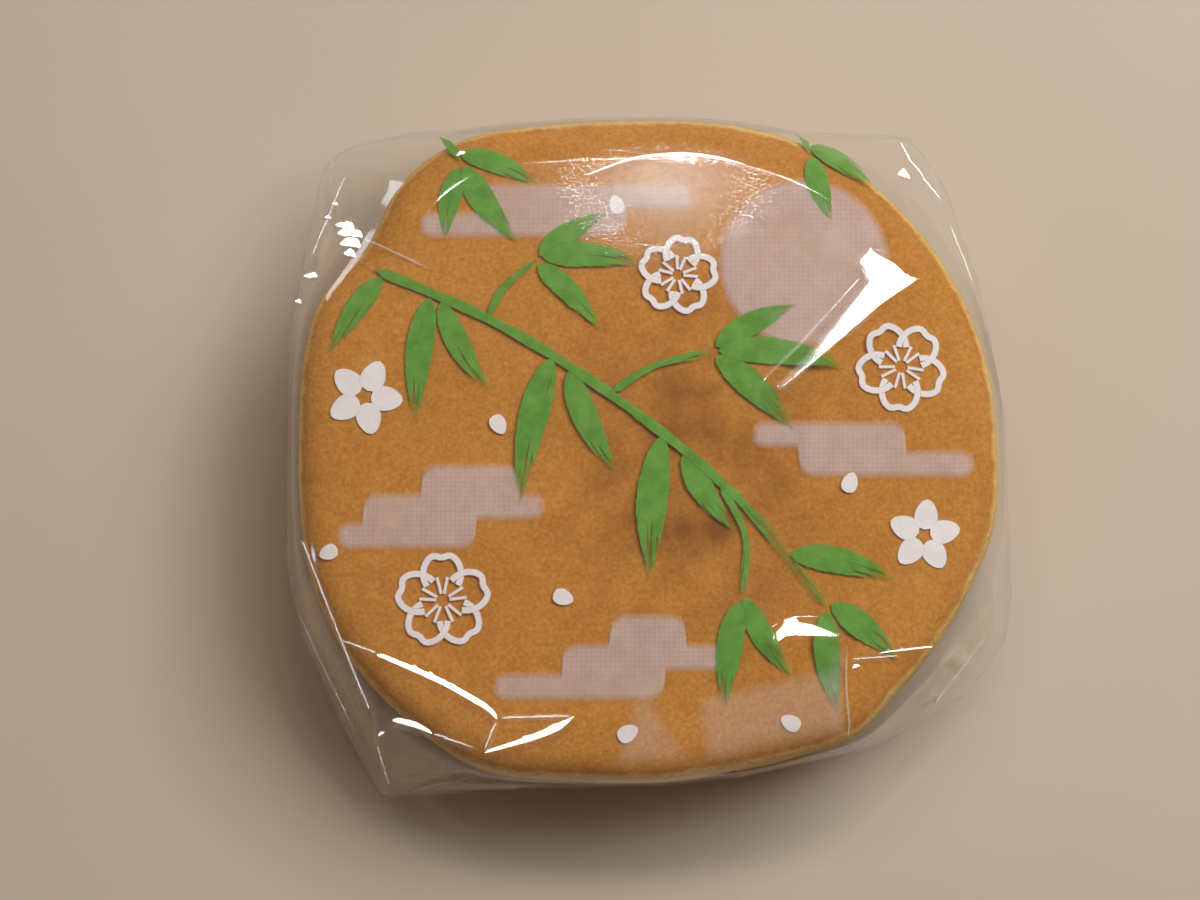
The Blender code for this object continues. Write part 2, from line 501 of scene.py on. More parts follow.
# Narrow pleats that lie on the film, as (points along the crest from left to right, width behind the
# crest at each point, width in front of it, number of flat faces).
BRIGHT_PLEATS = (
    # the arc along the back
    (
        ((-5.6, 25.3), (-1.2, 26.8), (3.3, 27.1), (6.5, 26.8), (9.0, 26.3)),
        (0.08, 0.20, 0.34, 0.26, 0.08), 0.7, 12,
    ),
    # the long one along the front left shoulder
    (((-25.1, -19.7), (-19.3, -22.3), (-15.2, -24.6), (-14.0, -25.6)), (0.34, 0.52, 0.50, 0.30), 0.7, 6),
    # the wedge beside it
    (((-15.1, -28.7), (-10.9, -27.6), (-8.3, -26.6), (-6.8, -25.3)), (0.18, 0.52, 0.72, 0.06), 0.7, 5),
    # the short one low on the front left shoulder, and a dot
    (((-23.7, -25.7), (-21.6, -26.3), (-20.0, -26.9)), (0.42, 0.50, 0.22), 0.5, 3),
    (((-25.2, -27.0), (-24.6, -26.6)), (0.25, 0.20), 0.3, 1),
    # a thin edge and a dot at the front right
    (((21.4, -19.5), (26.3, -18.9)), (0.10, 0.14), 0.4, 3),
    (((18.9, -20.9), (19.5, -20.7)), (0.45, 0.35), 0.3, 1),
    # a dot at the back left
    (((-17.9, 27.2), (-17.1, 27.5)), (0.42, 0.30), 0.3, 1),
    # crumpled film in the ear at the back left
    (((-29.5, 21.2), (-27.7, 20.6)), (0.45, 0.70), 0.3, 2),
    (((-29.2, 20.2), (-26.8, 19.6)), (0.75, 0.62), 0.3, 3),
    (((-28.9, 19.1), (-27.0, 18.6)), (0.85, 0.80), 0.3, 3),
    (((-28.5, 18.0), (-27.4, 17.7)), (0.75, 0.55), 0.3, 2),
    (((-30.0, 23.6), (-29.4, 23.5)), (0.30, 0.24), 0.3, 1),
    (((-30.8, 22.4), (-30.1, 22.3)), (0.20, 0.32), 0.3, 1),
    (((-32.6, 16.6), (-31.2, 16.2)), (0.30, 0.55), 0.4, 3),
    (((-33.4, 14.2), (-32.8, 14.0)), (0.45, 0.30), 0.3, 1),
    # a small bright face and a thin arc in the ear at the back right
    (((23.7, 25.9), (24.9, 25.6)), (1.05, 0.20), 0.4, 3),
    (((24.3, 29.8), (25.2, 27.7)), (0.10, 0.12), 0.2, 4),
    (((25.2, 27.7), (28.0, 24.1)), (0.12, 0.07), 0.2, 6),
)
DIM_PLEATS = (
    # the long pleat's start, the edge where it turns and the edge over the wedge
    (((-28.4, -18.3), (-25.2, -19.5)), (0.10, 0.18), 0.4, 2),
    (((-15.1, -28.4), (-14.0, -25.9)), (0.08, 0.20), 0.3, 2),
    (((-13.6, -25.5), (-7.2, -25.35)), (0.16, 0.18), 0.3, 3),
    # the tail of the short pleat, and a second edge at the front right
    (((-19.8, -27.0), (-16.2, -28.2)), (0.22, 0.08), 0.4, 4),
    (((18.9, -20.1), (23.0, -19.8)), (0.10, 0.12), 0.3, 1),
    # long edges in the ears
    (((-32.9, -15.6), (-27.9, -26.2)), (0.12, 0.14), 0.2, 8),
    (((-32.2, -9.0), (-26.0, -24.6)), (0.12, 0.14), 0.2, 10),
    (((-25.6, -27.4), (-24.6, -31.4)), (0.10, 0.12), 0.2, 4),
    (((27.2, -23.8), (32.0, -17.6)), (0.10, 0.12), 0.2, 7),
    (((-31.8, 19.0), (-28.8, 26.2)), (0.10, 0.12), 0.2, 7),
    (((28.9, 21.6), (30.8, 16.2)), (0.10, 0.10), 0.2, 6),
)
PLEAT_STEP = 0.3
PLEAT_GAP = 0.02
PLEAT_SKIRT = 0.15
# Share of a pleat's width at its very ends, and the run in which it grows by its full width
PLEAT_END_SHARE = 0.25
PLEAT_END_RUN = 0.5
# Folds as (start, end, lift, width each side), with a sharp crest
CREASES = (
    ((-14.3, -27.3), (-15.0, -29.2), 0.12, 0.6),
    ((18.2, -18.6), (18.5, -27.4), 0.07, 0.9),
    ((16.3, -19.4), (16.2, -27.6), 0.06, 0.7),
    ((-3.3, -30.2), (-0.8, -23.6), 0.06, 0.9),
    ((0.2, -23.6), (4.1, -29.8), 0.06, 0.9),
    ((4.3, -24.0), (5.1, -30.0), 0.07, 0.9),
    ((-27.0, 19.6), (-20.4, 16.4), 0.10, 1.0),
    ((-29.0, 15.0), (-22.0, 14.2), 0.08, 0.9),
)
# Broad folds as (start, end, lift at the start, lift at the end, width each side)
SOFT_FOLDS = (
    ((-27.0, 19.0), (-12.0, 8.5), 0.16, 0.05, 3.4),
    ((-24.0, -20.0), (-9.0, -10.0), 0.12, 0.05, 3.6),
    ((25.0, -15.0), (12.0, -7.0), 0.12, 0.05, 3.2),
)
# Folds down the walls as (direction, height) to (direction, height), lift and width each side
WALL_FOLDS = (
    ((193, 14.0), (212, 9.0), 0.30, 1.2),
    ((212, 9.0), (232.8, 4.5), 0.55, 1.4),
    ((232.8, 4.5), (224, 18.6), 0.60, 1.5),
    ((232.8, 4.5), (240, 18.6), 0.45, 1.3),
    ((232.8, 4.5), (251, 15.5), 0.35, 1.1),
    ((232.8, 4.5), (266, 8.0), 0.30, 1.0),
    ((327, 7.5), (314, 17.6), 0.40, 1.4),
    ((327, 7.5), (325, 18.8), 0.45, 1.2),
    ((327, 7.5), (338, 17.0), 0.35, 1.1),
    ((327, 7.5), (300, 8.5), 0.30, 1.0),
    ((327, 7.5), (350, 9.0), 0.25, 1.1),
    ((47, 11.0), (36, 17.6), 0.35, 1.2),
    ((47, 11.0), (46, 18.8), 0.45, 1.3),
    ((47, 11.0), (57, 17.4), 0.35, 1.1),
    ((47, 11.0), (74, 10.0), 0.30, 1.0),
    ((47, 11.0), (26, 9.5), 0.25, 1.1),
    ((136, 10.5), (126, 17.4), 0.40, 1.1),
    ((136, 10.5), (134, 18.8), 0.50, 1.3),
    ((136, 10.5), (143, 17.6), 0.45, 1.0),
    ((136, 10.5), (152, 16.4), 0.45, 1.2),
    ((136, 10.5), (112, 9.5), 0.30, 1.0),
    ((136, 10.5), (160, 9.5), 0.30, 1.1),
)
CREST_ROUND = 0.22
SOFT_FOLD_ROUND = 0.04
# Small folds that fan out from each ear: their ranges of turn in spreads of the ear, rise, lift and width
FINE_FOLDS_PER_EAR = 9
FINE_FOLD_TURNS = (-1.1, 1.1)
FINE_FOLD_RISES = (5.0, 9.5)
FINE_FOLD_LIFTS = (0.08, 0.26)
FINE_FOLD_WIDTHS = (0.5, 0.9)
FINE_FOLD_TOP = 18.8
# Waves of the slack film on its top, how much higher they are on its wall, and their length
SLACK_ON_TOP = 0.014
SLACK_ON_WALL = 0.076
SLACK_LENGTH = 9.0
# Heights at which the wall, the relief over the underside and the upper side start, with their blends,
# and over which the film is marked where it touches the crust or is rubbed
WALL_FROM = 19.5
WALL_BLEND = 5
RELIEF_FROM = 0.6
RELIEF_BLEND = 3.0
UPPER_SIDE_FROM = 17.2
UPPER_SIDE_BLEND = 1.2
MARKED_FROM = 17


def mirror_slope(across, along, lamp=0):
    """The film's drop per millimetre to +X and +Y that mirrors a window lamp to the camera from a place."""
    here = np.array((across, along, PACK_HEIGHT)) + CAKE_MIDDLE
    halfway = np.zeros(3)
    for source in (np.array(WINDOW_DIRECTIONS[lamp]) * WINDOW_DISTANCE, CAMERA_PLACE_MM):
        halfway += (source - here) / np.linalg.norm(source - here)
    return halfway[:2] / halfway[2]


def lit_face_height(points, parts, lift, sideways_slope, fall, soft_edge):
    """Height of a fold's flat face over each point, dropping outside its parts, on the left softly first."""
    places = from_middle(points)
    first = parts[0][0]
    middle = np.mean([corner for part in parts for corner in part], axis=0)
    slope = np.array((sideways_slope, mirror_slope(*middle)[1]))
    height = on_top(*first)[2] + lift - (places - first) @ slope
    outside = np.full(len(points), np.inf)
    way_out = np.zeros((len(points), 2))
    for part in parts:
        inside = np.ones(len(points), bool)
        for start, end in zip(part, part[1:] + part[:1]):
            side = np.subtract(end, start)
            inside &= (places - start) @ np.array((side[1], -side[0])) <= 0
            gap = along_line(places, start, end)[1]
            distance = np.linalg.norm(gap, axis=1)
            nearer = distance < outside
            outside[nearer] = distance[nearer]
            way_out[nearer] = gap[nearer]
        outside[inside] = 0
        way_out[inside] = 0
    soft = smooth_step(-way_out[:, 0] / np.maximum(outside, 1e-6) / LEFTWARD - 1)
    soft_drop = FACE_BEND / soft_edge * outside ** 2 + fall * np.maximum(outside - soft_edge, 0)
    return height - fall * outside * (1 - soft) - soft_drop * soft


def crease_lift(points, start, end, lift, width):
    """A crest with straight sides that fades at both ends."""
    share, gap = along_line(points, start, end)
    taper = 0.3 + 0.7 * smooth_step(np.minimum(share, 1 - share) * 5)
    crest = np.sqrt((gap ** 2).sum(1) + CREST_ROUND ** 2) - CREST_ROUND
    return lift * taper * np.clip(1 - crest / width, 0, 1) ** 1.3


def soft_lift(points, start, end, start_lift, end_lift, width):
    """A broad rounded fold whose height changes along it."""
    share, gap = along_line(points, start, end)
    return (start_lift + (end_lift - start_lift) * share) * np.exp(-(gap ** 2).sum(1) / width ** 2)


def fine_folds(random):
    """Small folds that fan out from each ear, as those of WALL_FOLDS."""
    folds = []
    for direction, spread, height, _ in EARS:
        for _ in range(FINE_FOLDS_PER_EAR):
            turn = random.uniform(*FINE_FOLD_TURNS) * spread
            rise = random.uniform(*FINE_FOLD_RISES) * (1 - 0.35 * abs(turn) / spread)
            start = (direction + 0.15 * turn, height + random.uniform(0.3, 1.5))
            end = (direction + turn, min(height + rise, FINE_FOLD_TOP))
            folds.append((start, end, random.uniform(*FINE_FOLD_LIFTS), random.uniform(*FINE_FOLD_WIDTHS)))
    return folds


def film_relief(points, random):
    """How far the film's creases and folds stand out along its normal."""
    wall_folds = [*WALL_FOLDS, *fine_folds(random)]
    folds = [(on_top(*start), on_top(*end), *size) for start, end, *size in CREASES]
    folds += [(on_wall(*start), on_wall(*end), *size) for start, end, *size in wall_folds]
    lift = np.zeros(len(points))
    for fold in folds:
        lift = np.maximum(lift, crease_lift(points, *fold))
    for start, end, *size in SOFT_FOLDS:
        lift = smooth_max(lift, soft_lift(points, on_top(*start), on_top(*end), *size), SOFT_FOLD_ROUND)
    return lift


def touch_zone(points):
    """Where the film lies on the crust, near the back."""
    return np.exp(-(((from_middle(points) - TOUCH_MIDDLE) / TOUCH_SPREAD) ** 2).sum(1))


def fold_sheen(points):
    """How soft the film's gloss is beside the raised fold at the back right."""
    gap = along_line(from_middle(points), *SHEEN_ENDS)[1]
    return SHEEN_SHARE * np.exp(-(gap ** 2).sum(1) / SHEEN_REACH ** 2)


def build_film(random):
    """The closed film with its folds, its waves and its lit faces."""
    angle, share = disc_grid(FILM_SQUARES)
    border_angle = angle[grid_border(FILM_SQUARES)]
    top = place(angle, (cake_reach(angle) - SHOULDER_RUN) * share, PACK_HEIGHT - TOP_CROWN * share ** 2)
    rows = placed(border_angle, film_profile(border_angle))
    rest = rows[-1]
    middle = rest.mean(axis=0)
    rows += [middle + (rest - middle) * part for part in np.linspace(0.92, 0.04, UNDERSIDE_RINGS)]
    film = shell("film", FILM_SQUARES, top, rows, closed=True)
    points, normals = mesh_points(film)
    wall = smooth_step((WALL_FROM - points[:, 2]) / WALL_BLEND)
    slack = (SLACK_ON_TOP + SLACK_ON_WALL * wall) * fractal(points, SLACK_LENGTH, 2)
    above = smooth_step((points[:, 2] - RELIEF_FROM) / RELIEF_BLEND)
    moved = points + normals * ((film_relief(points, random) + slack) * above)[:, None]
    upper = smooth_step((moved[:, 2] - UPPER_SIDE_FROM) / UPPER_SIDE_BLEND)
    height = moved[:, 2].copy()
    for *form, rounding in LIT_FACES:
        height = smooth_max(height, lit_face_height(moved, *form), rounding)
    moved[:, 2] += (height - moved[:, 2]) * upper
    set_mesh_points(film, moved)
    marked = moved[:, 2] > MARKED_FROM
    add_attribute(film, "touch", touch_zone(moved) * marked)
    add_attribute(film, "rubbed", (touch_zone(moved) + fold_sheen(moved)) * marked)
    return film


# Cake

def cake_profile(angle):
    """Rows of the crust's shoulder, the crumb side and the base, from top to bottom."""
    cake = cake_reach(angle)
    rim = side_points(cake - CAKE_RIM_INSET, CAKE_TOP - CAKE_CROWN)
    droop = back_droop(angle, CAKE_RIM_INSET - CAKE_SHOULDER_INSET)
    shoulder = side_points(cake - CAKE_SHOULDER_INSET, CAKE_TOP - CAKE_SHOULDER_DROP - droop)
    lip = side_points(cake - LIP_INSET, LIP_HEIGHT)
    bulge = side_points(cake - BULGE_INSET, BULGE_HEIGHT)
    base_lip = side_points(cake - BASE_LIP_INSET, BASE_LIP_HEIGHT)
    foot = side_points(cake - BASE_FOOT_INSET, CAKE_UNDERSIDE)
    rest = side_points(cake - BASE_REST_INSET, CAKE_UNDERSIDE)
    corner = (shoulder, CAKE_SHOULDER_ROUND, CAKE_STRAIGHT_ROWS, CRUST_CURVE_ROWS, 1)
    crust = rounded_path(rim, (corner,), lip)
    crust += between(crust[-1], lip, CAKE_STRAIGHT_ROWS)
    crumb = curved(lip, 2 * bulge - (lip + base_lip) / 2, base_lip, CRUMB_ROWS)
    corner = (foot, BASE_FOOT_ROUND, CAKE_STRAIGHT_ROWS, BASE_CURVE_ROWS, 1)
    return crust, crumb, [base_lip] + rounded_path(base_lip, (corner,), rest)


def crust_grain(points):
    """The crust's fine relief: grain, small lumps and a broad unevenness."""
    fine = fractal(points, 0.75, 3)
    lumps = fractal(points, 2.6, 2, 3.0)
    broad = fractal(points, 13.0, 2, 11.0)
    return fine, lumps, broad


def centre_stain(points, lumps):
    """Where the crust over the filling is darker: patches round the middle."""
    offset = (from_middle(points) - STAIN_MIDDLE) / STAIN_SPREAD
    near = np.exp(-(offset ** 2).sum(1) ** 1.2)
    patches = fractal(points, 5.2, 3, 23.0)
    return np.clip(near * (0.36 + 0.75 * patches + 0.22 * lumps), 0, 1)


def raise_cake_part(part, lift, low, high, low_fade=SEAM_FADE, high_fade=SEAM_FADE):
    """Lifts the points of a part of the cake along their normals, fading out at its two ends' heights."""
    points, normals = mesh_points(part)
    ends = np.minimum((points[:, 2] - low) / low_fade, (high - points[:, 2]) / high_fade)
    set_mesh_points(part, points + normals * (lift * np.clip(ends, 0, 1))[:, None])


def build_cake():
    """The browned crust, the crumb side and the browned base."""
    angle, share = disc_grid(CAKE_SQUARES)
    border_angle = angle[grid_border(CAKE_SQUARES)]
    crust_rows, crumb_rows, base_rows = (placed(border_angle, rows) for rows in cake_profile(border_angle))

    top = place(angle, (cake_reach(angle) - CAKE_RIM_INSET) * share, CAKE_TOP - CAKE_CROWN * share ** 2)
    crust = shell("cake_crust", CAKE_SQUARES, top, crust_rows)
    points = mesh_points(crust)[0]
    fine, lumps, broad = crust_grain(points)
    stain = centre_stain(points, lumps)
    lift = GRAIN_LIFT * fine + LUMP_LIFT * lumps + BROAD_LIFT * broad
    lift += TOUCH_LIFT * touch_zone(points) - STAIN_DIP * stain
    raise_cake_part(crust, lift, LIP_HEIGHT, np.inf)
    around = np.arctan2(points[:, 1], points[:, 0])
    # The pale edge starts lower towards the front left: painted light on the shaded rim there.
    pale_from = PALE_FROM_HEIGHT - PAINTED_LIGHT_PALE_DROP * nearness(around, PAINTED_LIGHT_PALE_DIRECTION, PAINTED_LIGHT_PALE_SPREAD)
    pale_from -= back_droop(around, PALE_DROOP_RUN)
    add_attribute(crust, "pale", (pale_from - points[:, 2]) / PALE_RUN)
    add_attribute(crust, "stain", stain)

    crumb = shell("cake_side", CAKE_SQUARES, rows=crumb_rows)
    points = mesh_points(crumb)[0]
    pores = np.clip(fractal(points, 0.9, 3, 5.0), -1, 0.2)
    lift = PORE_LIFT * pores + CRUMB_LIFT * fractal(points, 5.0, 2, 17.0)
    raise_cake_part(crumb, lift, BASE_LIP_HEIGHT, LIP_HEIGHT)

    base = shell("cake_base", CAKE_SQUARES, rows=base_rows, closed=True)
    points = mesh_points(base)[0]
    fine, lumps, _ = crust_grain(points)
    lift = BASE_GRAIN_LIFT * fine + LUMP_LIFT * lumps
    raise_cake_part(base, lift, CAKE_UNDERSIDE, BASE_LIP_HEIGHT, low_fade=UNDERSIDE_FADE)
    add_attribute(base, "pale", (points[:, 2] - BASE_LIP_HEIGHT) / BASE_PALE_RUN + 1.0)
    add_attribute(base, "stain", np.zeros(len(points)))
    return crust, crumb, base


# Print

PRINT_STEP = 0.35
MIST_STEP = PRINT_STEP / 2
MIST_POINTS = 25
FIELD_POINTS = 41
LEAST_HALF_WIDTH = 0.02


def patch(grid, depth, along=0, across=0):
    """A grid of flat points as a list, its quads, and for each point how far it is inside the edge, how dry
    the brush is, and its place along and across the stroke."""
    points, quads = grid_part(grid)
    values = np.zeros((*grid.shape[:2], 4))
    values[..., 0] = depth
    values[..., 2] = along
    values[..., 3] = across
    # A quad is split from its first corner, which is the left one nearer the start of the stroke
    return points, np.roll(quads, 1, axis=1), values.reshape(-1, 4)


def ribbon(line, half_widths, across):
    """A patch along a line, with a number of points across it."""
    run = np.gradient(line, axis=0)
    run /= np.maximum(np.linalg.norm(run, axis=1), 1e-9)[:, None]
    sideways = np.stack((-run[:, 1], run[:, 0]), axis=1)
    half_widths = np.maximum(half_widths, LEAST_HALF_WIDTH)[:, None]
    places = np.linspace(-1, 1, across)
    offsets = half_widths * places
    grid = line[:, None] + sideways[:, None] * offsets[..., None]
    return patch(grid, half_widths * (1 - np.abs(places)), distance_along(line)[:, None], offsets)


def curve_through(points, step=PRINT_STEP):
    """Evenly spaced points on a smooth curve through a few chosen ones."""
    chosen = np.asarray(points, float)
    padded = np.vstack((2 * chosen[0] - chosen[1], chosen, 2 * chosen[-1] - chosen[-2]))
    parts = []
    for number in range(len(chosen) - 1):
        before, start, end, after = padded[number:number + 4]
        length = np.linalg.norm(end - start)
        share = np.linspace(0, 1, max(int(length / step), 2), endpoint=False)[:, None]
        parts.append(0.5 * (
            2 * start
            + (end - before) * share
            + (2 * before - 5 * start + 4 * end - after) * share ** 2
            + (3 * start - before - 3 * end + after) * share ** 3
        ))
    parts.append(chosen[-1:])
    return np.concatenate(parts)


def mist_band(bars, half_height):
    """Soft level bars with round ends that lie one over the other, as one patch from left to right.
    Each bar is (left, right, level)."""
    left = min(bar[0] for bar in bars)
    right = max(bar[1] for bar in bars)
    across = np.arange(left, right + MIST_STEP, MIST_STEP)
    lower = np.full(len(across), np.inf)
    upper = np.full(len(across), -np.inf)
    for bar_left, bar_right, level in bars:
        from_end = np.minimum(across - bar_left, bar_right - across)
        share = np.clip(from_end / half_height, 0, 1)
        half = half_height * np.sqrt(1 - (1 - share) ** 2)
        lower = np.where(from_end > 0, np.minimum(lower, level - half), lower)
        upper = np.where(from_end > 0, np.maximum(upper, level + half), upper)
    kept = upper > lower
    across, lower, upper = across[kept], lower[kept], upper[kept]
    half = (upper - lower)[:, None] / 2
    places = np.linspace(-1, 1, MIST_POINTS)
    grid = np.stack((across[:, None] + 0 * places, (lower + upper)[:, None] / 2 + places * half), axis=-1)
    from_tip = np.minimum(across - left, right - across)[:, None]
    return patch(grid, np.minimum(half * (1 - np.abs(places)), from_tip))


def round_field(centre_x, centre_y, radius):
    """A round soft field."""
    share = np.linspace(-1, 1, int(2 * radius / PRINT_STEP))
    line = np.stack((centre_x + radius * share, np.full_like(share, centre_y)), axis=1)
    points, quads, values = ribbon(line, radius * np.sqrt(np.clip(1 - share ** 2, 0, 1)), FIELD_POINTS)
    values[:, 0] = radius - np.hypot(points[:, 0] - centre_x, points[:, 1] - centre_y)
    return points, quads, values


def brushed(line, half_widths, across, dry_from, random):
    """A brush stroke whose ink grows dry and streaky towards its end."""
    points, quads, values = ribbon(line, half_widths, across)
    share = values[:, 2] / values[:, 2].max()
    values[:, 1] = np.clip((share - dry_from) / (1 - dry_from), 0, 1)
    values[:, 3] += random.uniform(-40, 40)
    return points, quads, values


def leaf(start_x, start_y, heading, length, width, bend, random):
    """A long brushed leaf that swells soon after its stem and tapers to a point."""
    steps = int(length / PRINT_STEP)
    share = np.linspace(0, 1, steps)
    turn = np.radians(heading + bend * (share - 0.3))
    run = np.stack((np.cos(turn), np.sin(turn)), axis=1) * length / steps
    line = np.array((start_x, start_y)) + np.cumsum(run, axis=0)
    outline = share ** 0.6 * (1 - share) ** 1.05
    outline /= outline.max()
    wander = np.cumsum(random.normal(0, 1, steps)) / math.sqrt(steps)
    rough = 1 + 0.06 * wander + random.normal(0, 0.02, steps)
    return brushed(line, width / 2 * outline * rough, 9, 0.45, random)


def stem(points, width, random):
    """A brushed stem, a little uneven in width."""
    line = curve_through(points)
    count = np.arange(len(line))
    rough = 1 + 0.10 * np.sin(count * 0.31) + random.normal(0, 0.03, len(line))
    ends = np.clip(np.minimum(count, count[::-1]) / 3, 0.25, 1)
    return brushed(line, width / 2 * rough * ends, 5, 0.5, random)


BRANCH = ((-25.5, 16.4), (-14.0, 11.2), (-3.0, 4.2), (8.0, -4.8), (16.5, -15.2))
TWIGS = (
    ((-15.0, 11.6), (-13.4, 14.6), (-10.2, 17.4)),
    ((-3.6, 4.6), (0.6, 7.2), (6.2, 8.6)),
    ((6.6, -3.6), (9.0, -8.8), (8.6, -14.4)),
    ((-19.7, 29.6), (-18.8, 28.6), (-17.4, 26.6)),
    ((14.0, 29.7), (14.7, 29.0), (15.4, 27.6)),
)
# Leaves as (start x, start y, heading, length, width, bend)
LEAVES = (
    (-20.2, 14.0, -100, 12.5, 2.7, 20),
    (-19.4, 13.6, -66, 10.0, 2.4, 24),
    (-24.6, 15.9, -128, 9.0, 2.2, 18),
    (-10.2, 17.4, 2, 10.0, 2.5, -30),
    (-10.4, 17.3, 38, 8.0, 2.2, -22),
    (-10.6, 17.0, -42, 9.0, 2.4, -20),
    (-8.8, 8.3, -106, 14.5, 2.9, 18),
    (-7.4, 7.2, -70, 11.0, 2.5, 22),
    (6.2, 8.6, -2, 12.5, 2.7, -26),
    (6.0, 8.8, 32, 9.0, 2.3, -20),
    (6.0, 8.3, -40, 10.5, 2.6, -18),
    (1.4, 1.0, -98, 14.0, 2.9, 16),
    (3.2, -0.6, -62, 9.0, 2.3, 22),
    (8.6, -14.4, -102, 10.5, 2.6, 20),
    (8.8, -14.0, -64, 9.0, 2.3, 22),
    (16.5, -15.2, -88, 10.0, 2.5, 20),
    (16.6, -14.8, -36, 8.5, 2.3, -18),
    (12.8, -10.4, -8, 10.5, 2.5, -24),
    (-17.4, 26.6, -60, 9.5, 2.4, 24),
    (-17.6, 26.4, -104, 7.5, 2.2, 18),
    (-18.0, 27.6, -18, 8.5, 2.2, -22),
    (15.4, 27.6, -78, 7.0, 2.1, 18),
    (15.0, 28.6, -30, 7.5, 2.1, -20),
)


PETALS = 5
STAMEN_SPREAD = 13
STAMEN_POINTS = 6


def way(heading):
    """A step of one along a heading in degrees."""
    turn = math.radians(heading)
    return np.array((math.cos(turn), math.sin(turn)))


def petal_line(centre, radius, heading):
    """A closed petal outline, round with a shallow notch at its tip."""
    turn = np.linspace(-math.pi, math.pi, 34)
    out = radius * (0.56 + 0.44 * np.cos(turn))
    side = radius * 0.40 * np.sin(turn)
    out -= radius * 0.10 * np.exp(-((turn / 0.35) ** 2))
    return centre + out[:, None] * way(heading) + side[:, None] * way(heading + 90)


def outlined_blossom(centre_x, centre_y, radius, turn, line_width):
    """A five-petalled blossom in outline, with short stamens."""
    patches = []
    centre = np.array((centre_x, centre_y))
    for heading in turn + 360 / PETALS * np.arange(PETALS):
        outline = petal_line(centre, radius, heading)
        outer = outline[np.linalg.norm(outline - centre, axis=1) > 0.42 * radius]
        patches.append(ribbon(outer, np.full(len(outer), line_width / 2), 3))
        for ray in (heading - STAMEN_SPREAD, heading + STAMEN_SPREAD):
            line = centre + np.linspace(0.14, 0.50, STAMEN_POINTS)[:, None] * radius * way(ray)
            patches.append(ribbon(line, np.full(STAMEN_POINTS, line_width * 0.28), 3))
    return patches


def full_petal(start_x, start_y, length, heading):
    """A filled petal."""
    share = np.linspace(0, 1, 16)
    line = np.array((start_x, start_y)) + share[:, None] * length * way(heading)
    half = length * 0.40 * np.sqrt(np.clip(np.sin(math.pi * share ** 0.75), 0, 1))
    return ribbon(line, half, 9)


def full_blossom(centre_x, centre_y, radius, turn):
    """A filled blossom of five petals that just clear each other."""
    patches = []
    for heading in turn + 360 / PETALS * np.arange(PETALS):
        foot = (centre_x, centre_y) + 0.16 * radius * way(heading)
        patches.append(full_petal(*foot, 0.82 * radius, heading))
    return patches


# Bands as bars of (left, right, level), and the round field as (x, y, radius)
MIST_BANDS = (
    ((-29.0, -16.0, -8.6), (-26.5, -9.5, -5.9), (-21.0, -12.0, -3.2)),
    ((-14.5, 1.5, -22.6), (-8.0, 8.5, -19.9), (-3.5, 3.5, -17.2)),
    ((14.0, 30.5, -1.9), (9.5, 24.0, 0.8)),
    ((-21.5, -2.0, 20.6), (-16.0, 4.5, 23.3)),
)
MIST_HALF_HEIGHT = 1.45
ROUND_FIELD = (14.6, 17.0, 8.2)
# Blossoms as (x, y, radius, turn), and loose petals as (x, y, length, heading)
BLOSSOMS = (
    (-19.0, -14.6, 4.4, 20),
    (23.6, 7.2, 4.2, 50),
    (2.8, 15.8, 3.7, 8),
)
FULL_BLOSSOMS = (
    (-26.4, 4.4, 3.7, 66),
    (25.6, -8.6, 3.5, 12),
)
LOOSE_PETALS = (
    (-2.8, -27.4, 2.1, 30),
    (14.0, -26.4, 2.0, 150),
    (18.4, -4.6, 2.0, 70),
    (-28.8, -9.8, 1.9, 200),
    (-2.6, 21.6, 1.9, 110),
    (-14.4, 2.6, 2.0, 300),
    (-8.8, -14.0, 2.0, 340),
)
# Widths of the ink lines
LINE_WIDTH = 0.68
BRANCH_WIDTH = 1.0
TWIG_WIDTH = 0.75
# How deep each print lies inside the film, and how much deeper each next patch of it
MIST_DEPTH = 0.09
WHITE_DEPTHS = (0.072, 0.00025)
GREEN_DEPTHS = (0.02, 0.0018)
# A ray that slips between two triangles is cast again a little beside
RAY_NUDGES_MM = (0.0, 0.004, -0.006)
RAY_START_HEIGHT = PACK_HEIGHT + 10


def drop_to_film(flat, film_tree):
    """The film's points and normals straight below points given from the cake's middle."""
    points = np.empty((len(flat), 3))
    normals = np.empty((len(flat), 3))
    for number, (across, along) in enumerate(flat + CAKE_MIDDLE[:2]):
        for nudge in RAY_NUDGES_MM:
            origin = Vector((across + nudge, along + nudge / 2, RAY_START_HEIGHT)) * METRES_PER_MM
            hit, normal, _, _ = film_tree.ray_cast(origin, Vector((0, 0, -1)))
            if hit is not None:
                break
        else:
            raise ValueError(f"{across:.2f}, {along:.2f} is outside the film")
        points[number] = hit / METRES_PER_MM
        normals[number] = normal
    return points, normals


def lay_on_film(name, patches, film_tree, gap, gap_step=0.0):
    """Patches as one mesh that follows the film, a gap inside it, each patch a step further in."""
    parts = []
    for number, (flat, quads, _) in enumerate(patches):
        points, normals = drop_to_film(flat, film_tree)
        parts.append((points - normals * (gap + gap_step * number), quads))
    made = joined(name, parts)
    values = np.concatenate([values for _, _, values in patches])
    for column, attribute in enumerate(("depth", "dryness", "along", "across")):
        add_attribute(made, attribute, values[:, column])
    return made


def tree_of(made):
    """A mesh object as a tree that rays can be cast at."""
    points = [vertex.co.copy() for vertex in made.data.vertices]
    return BVHTree.FromPolygons(points, [tuple(face.vertices) for face in made.data.polygons])


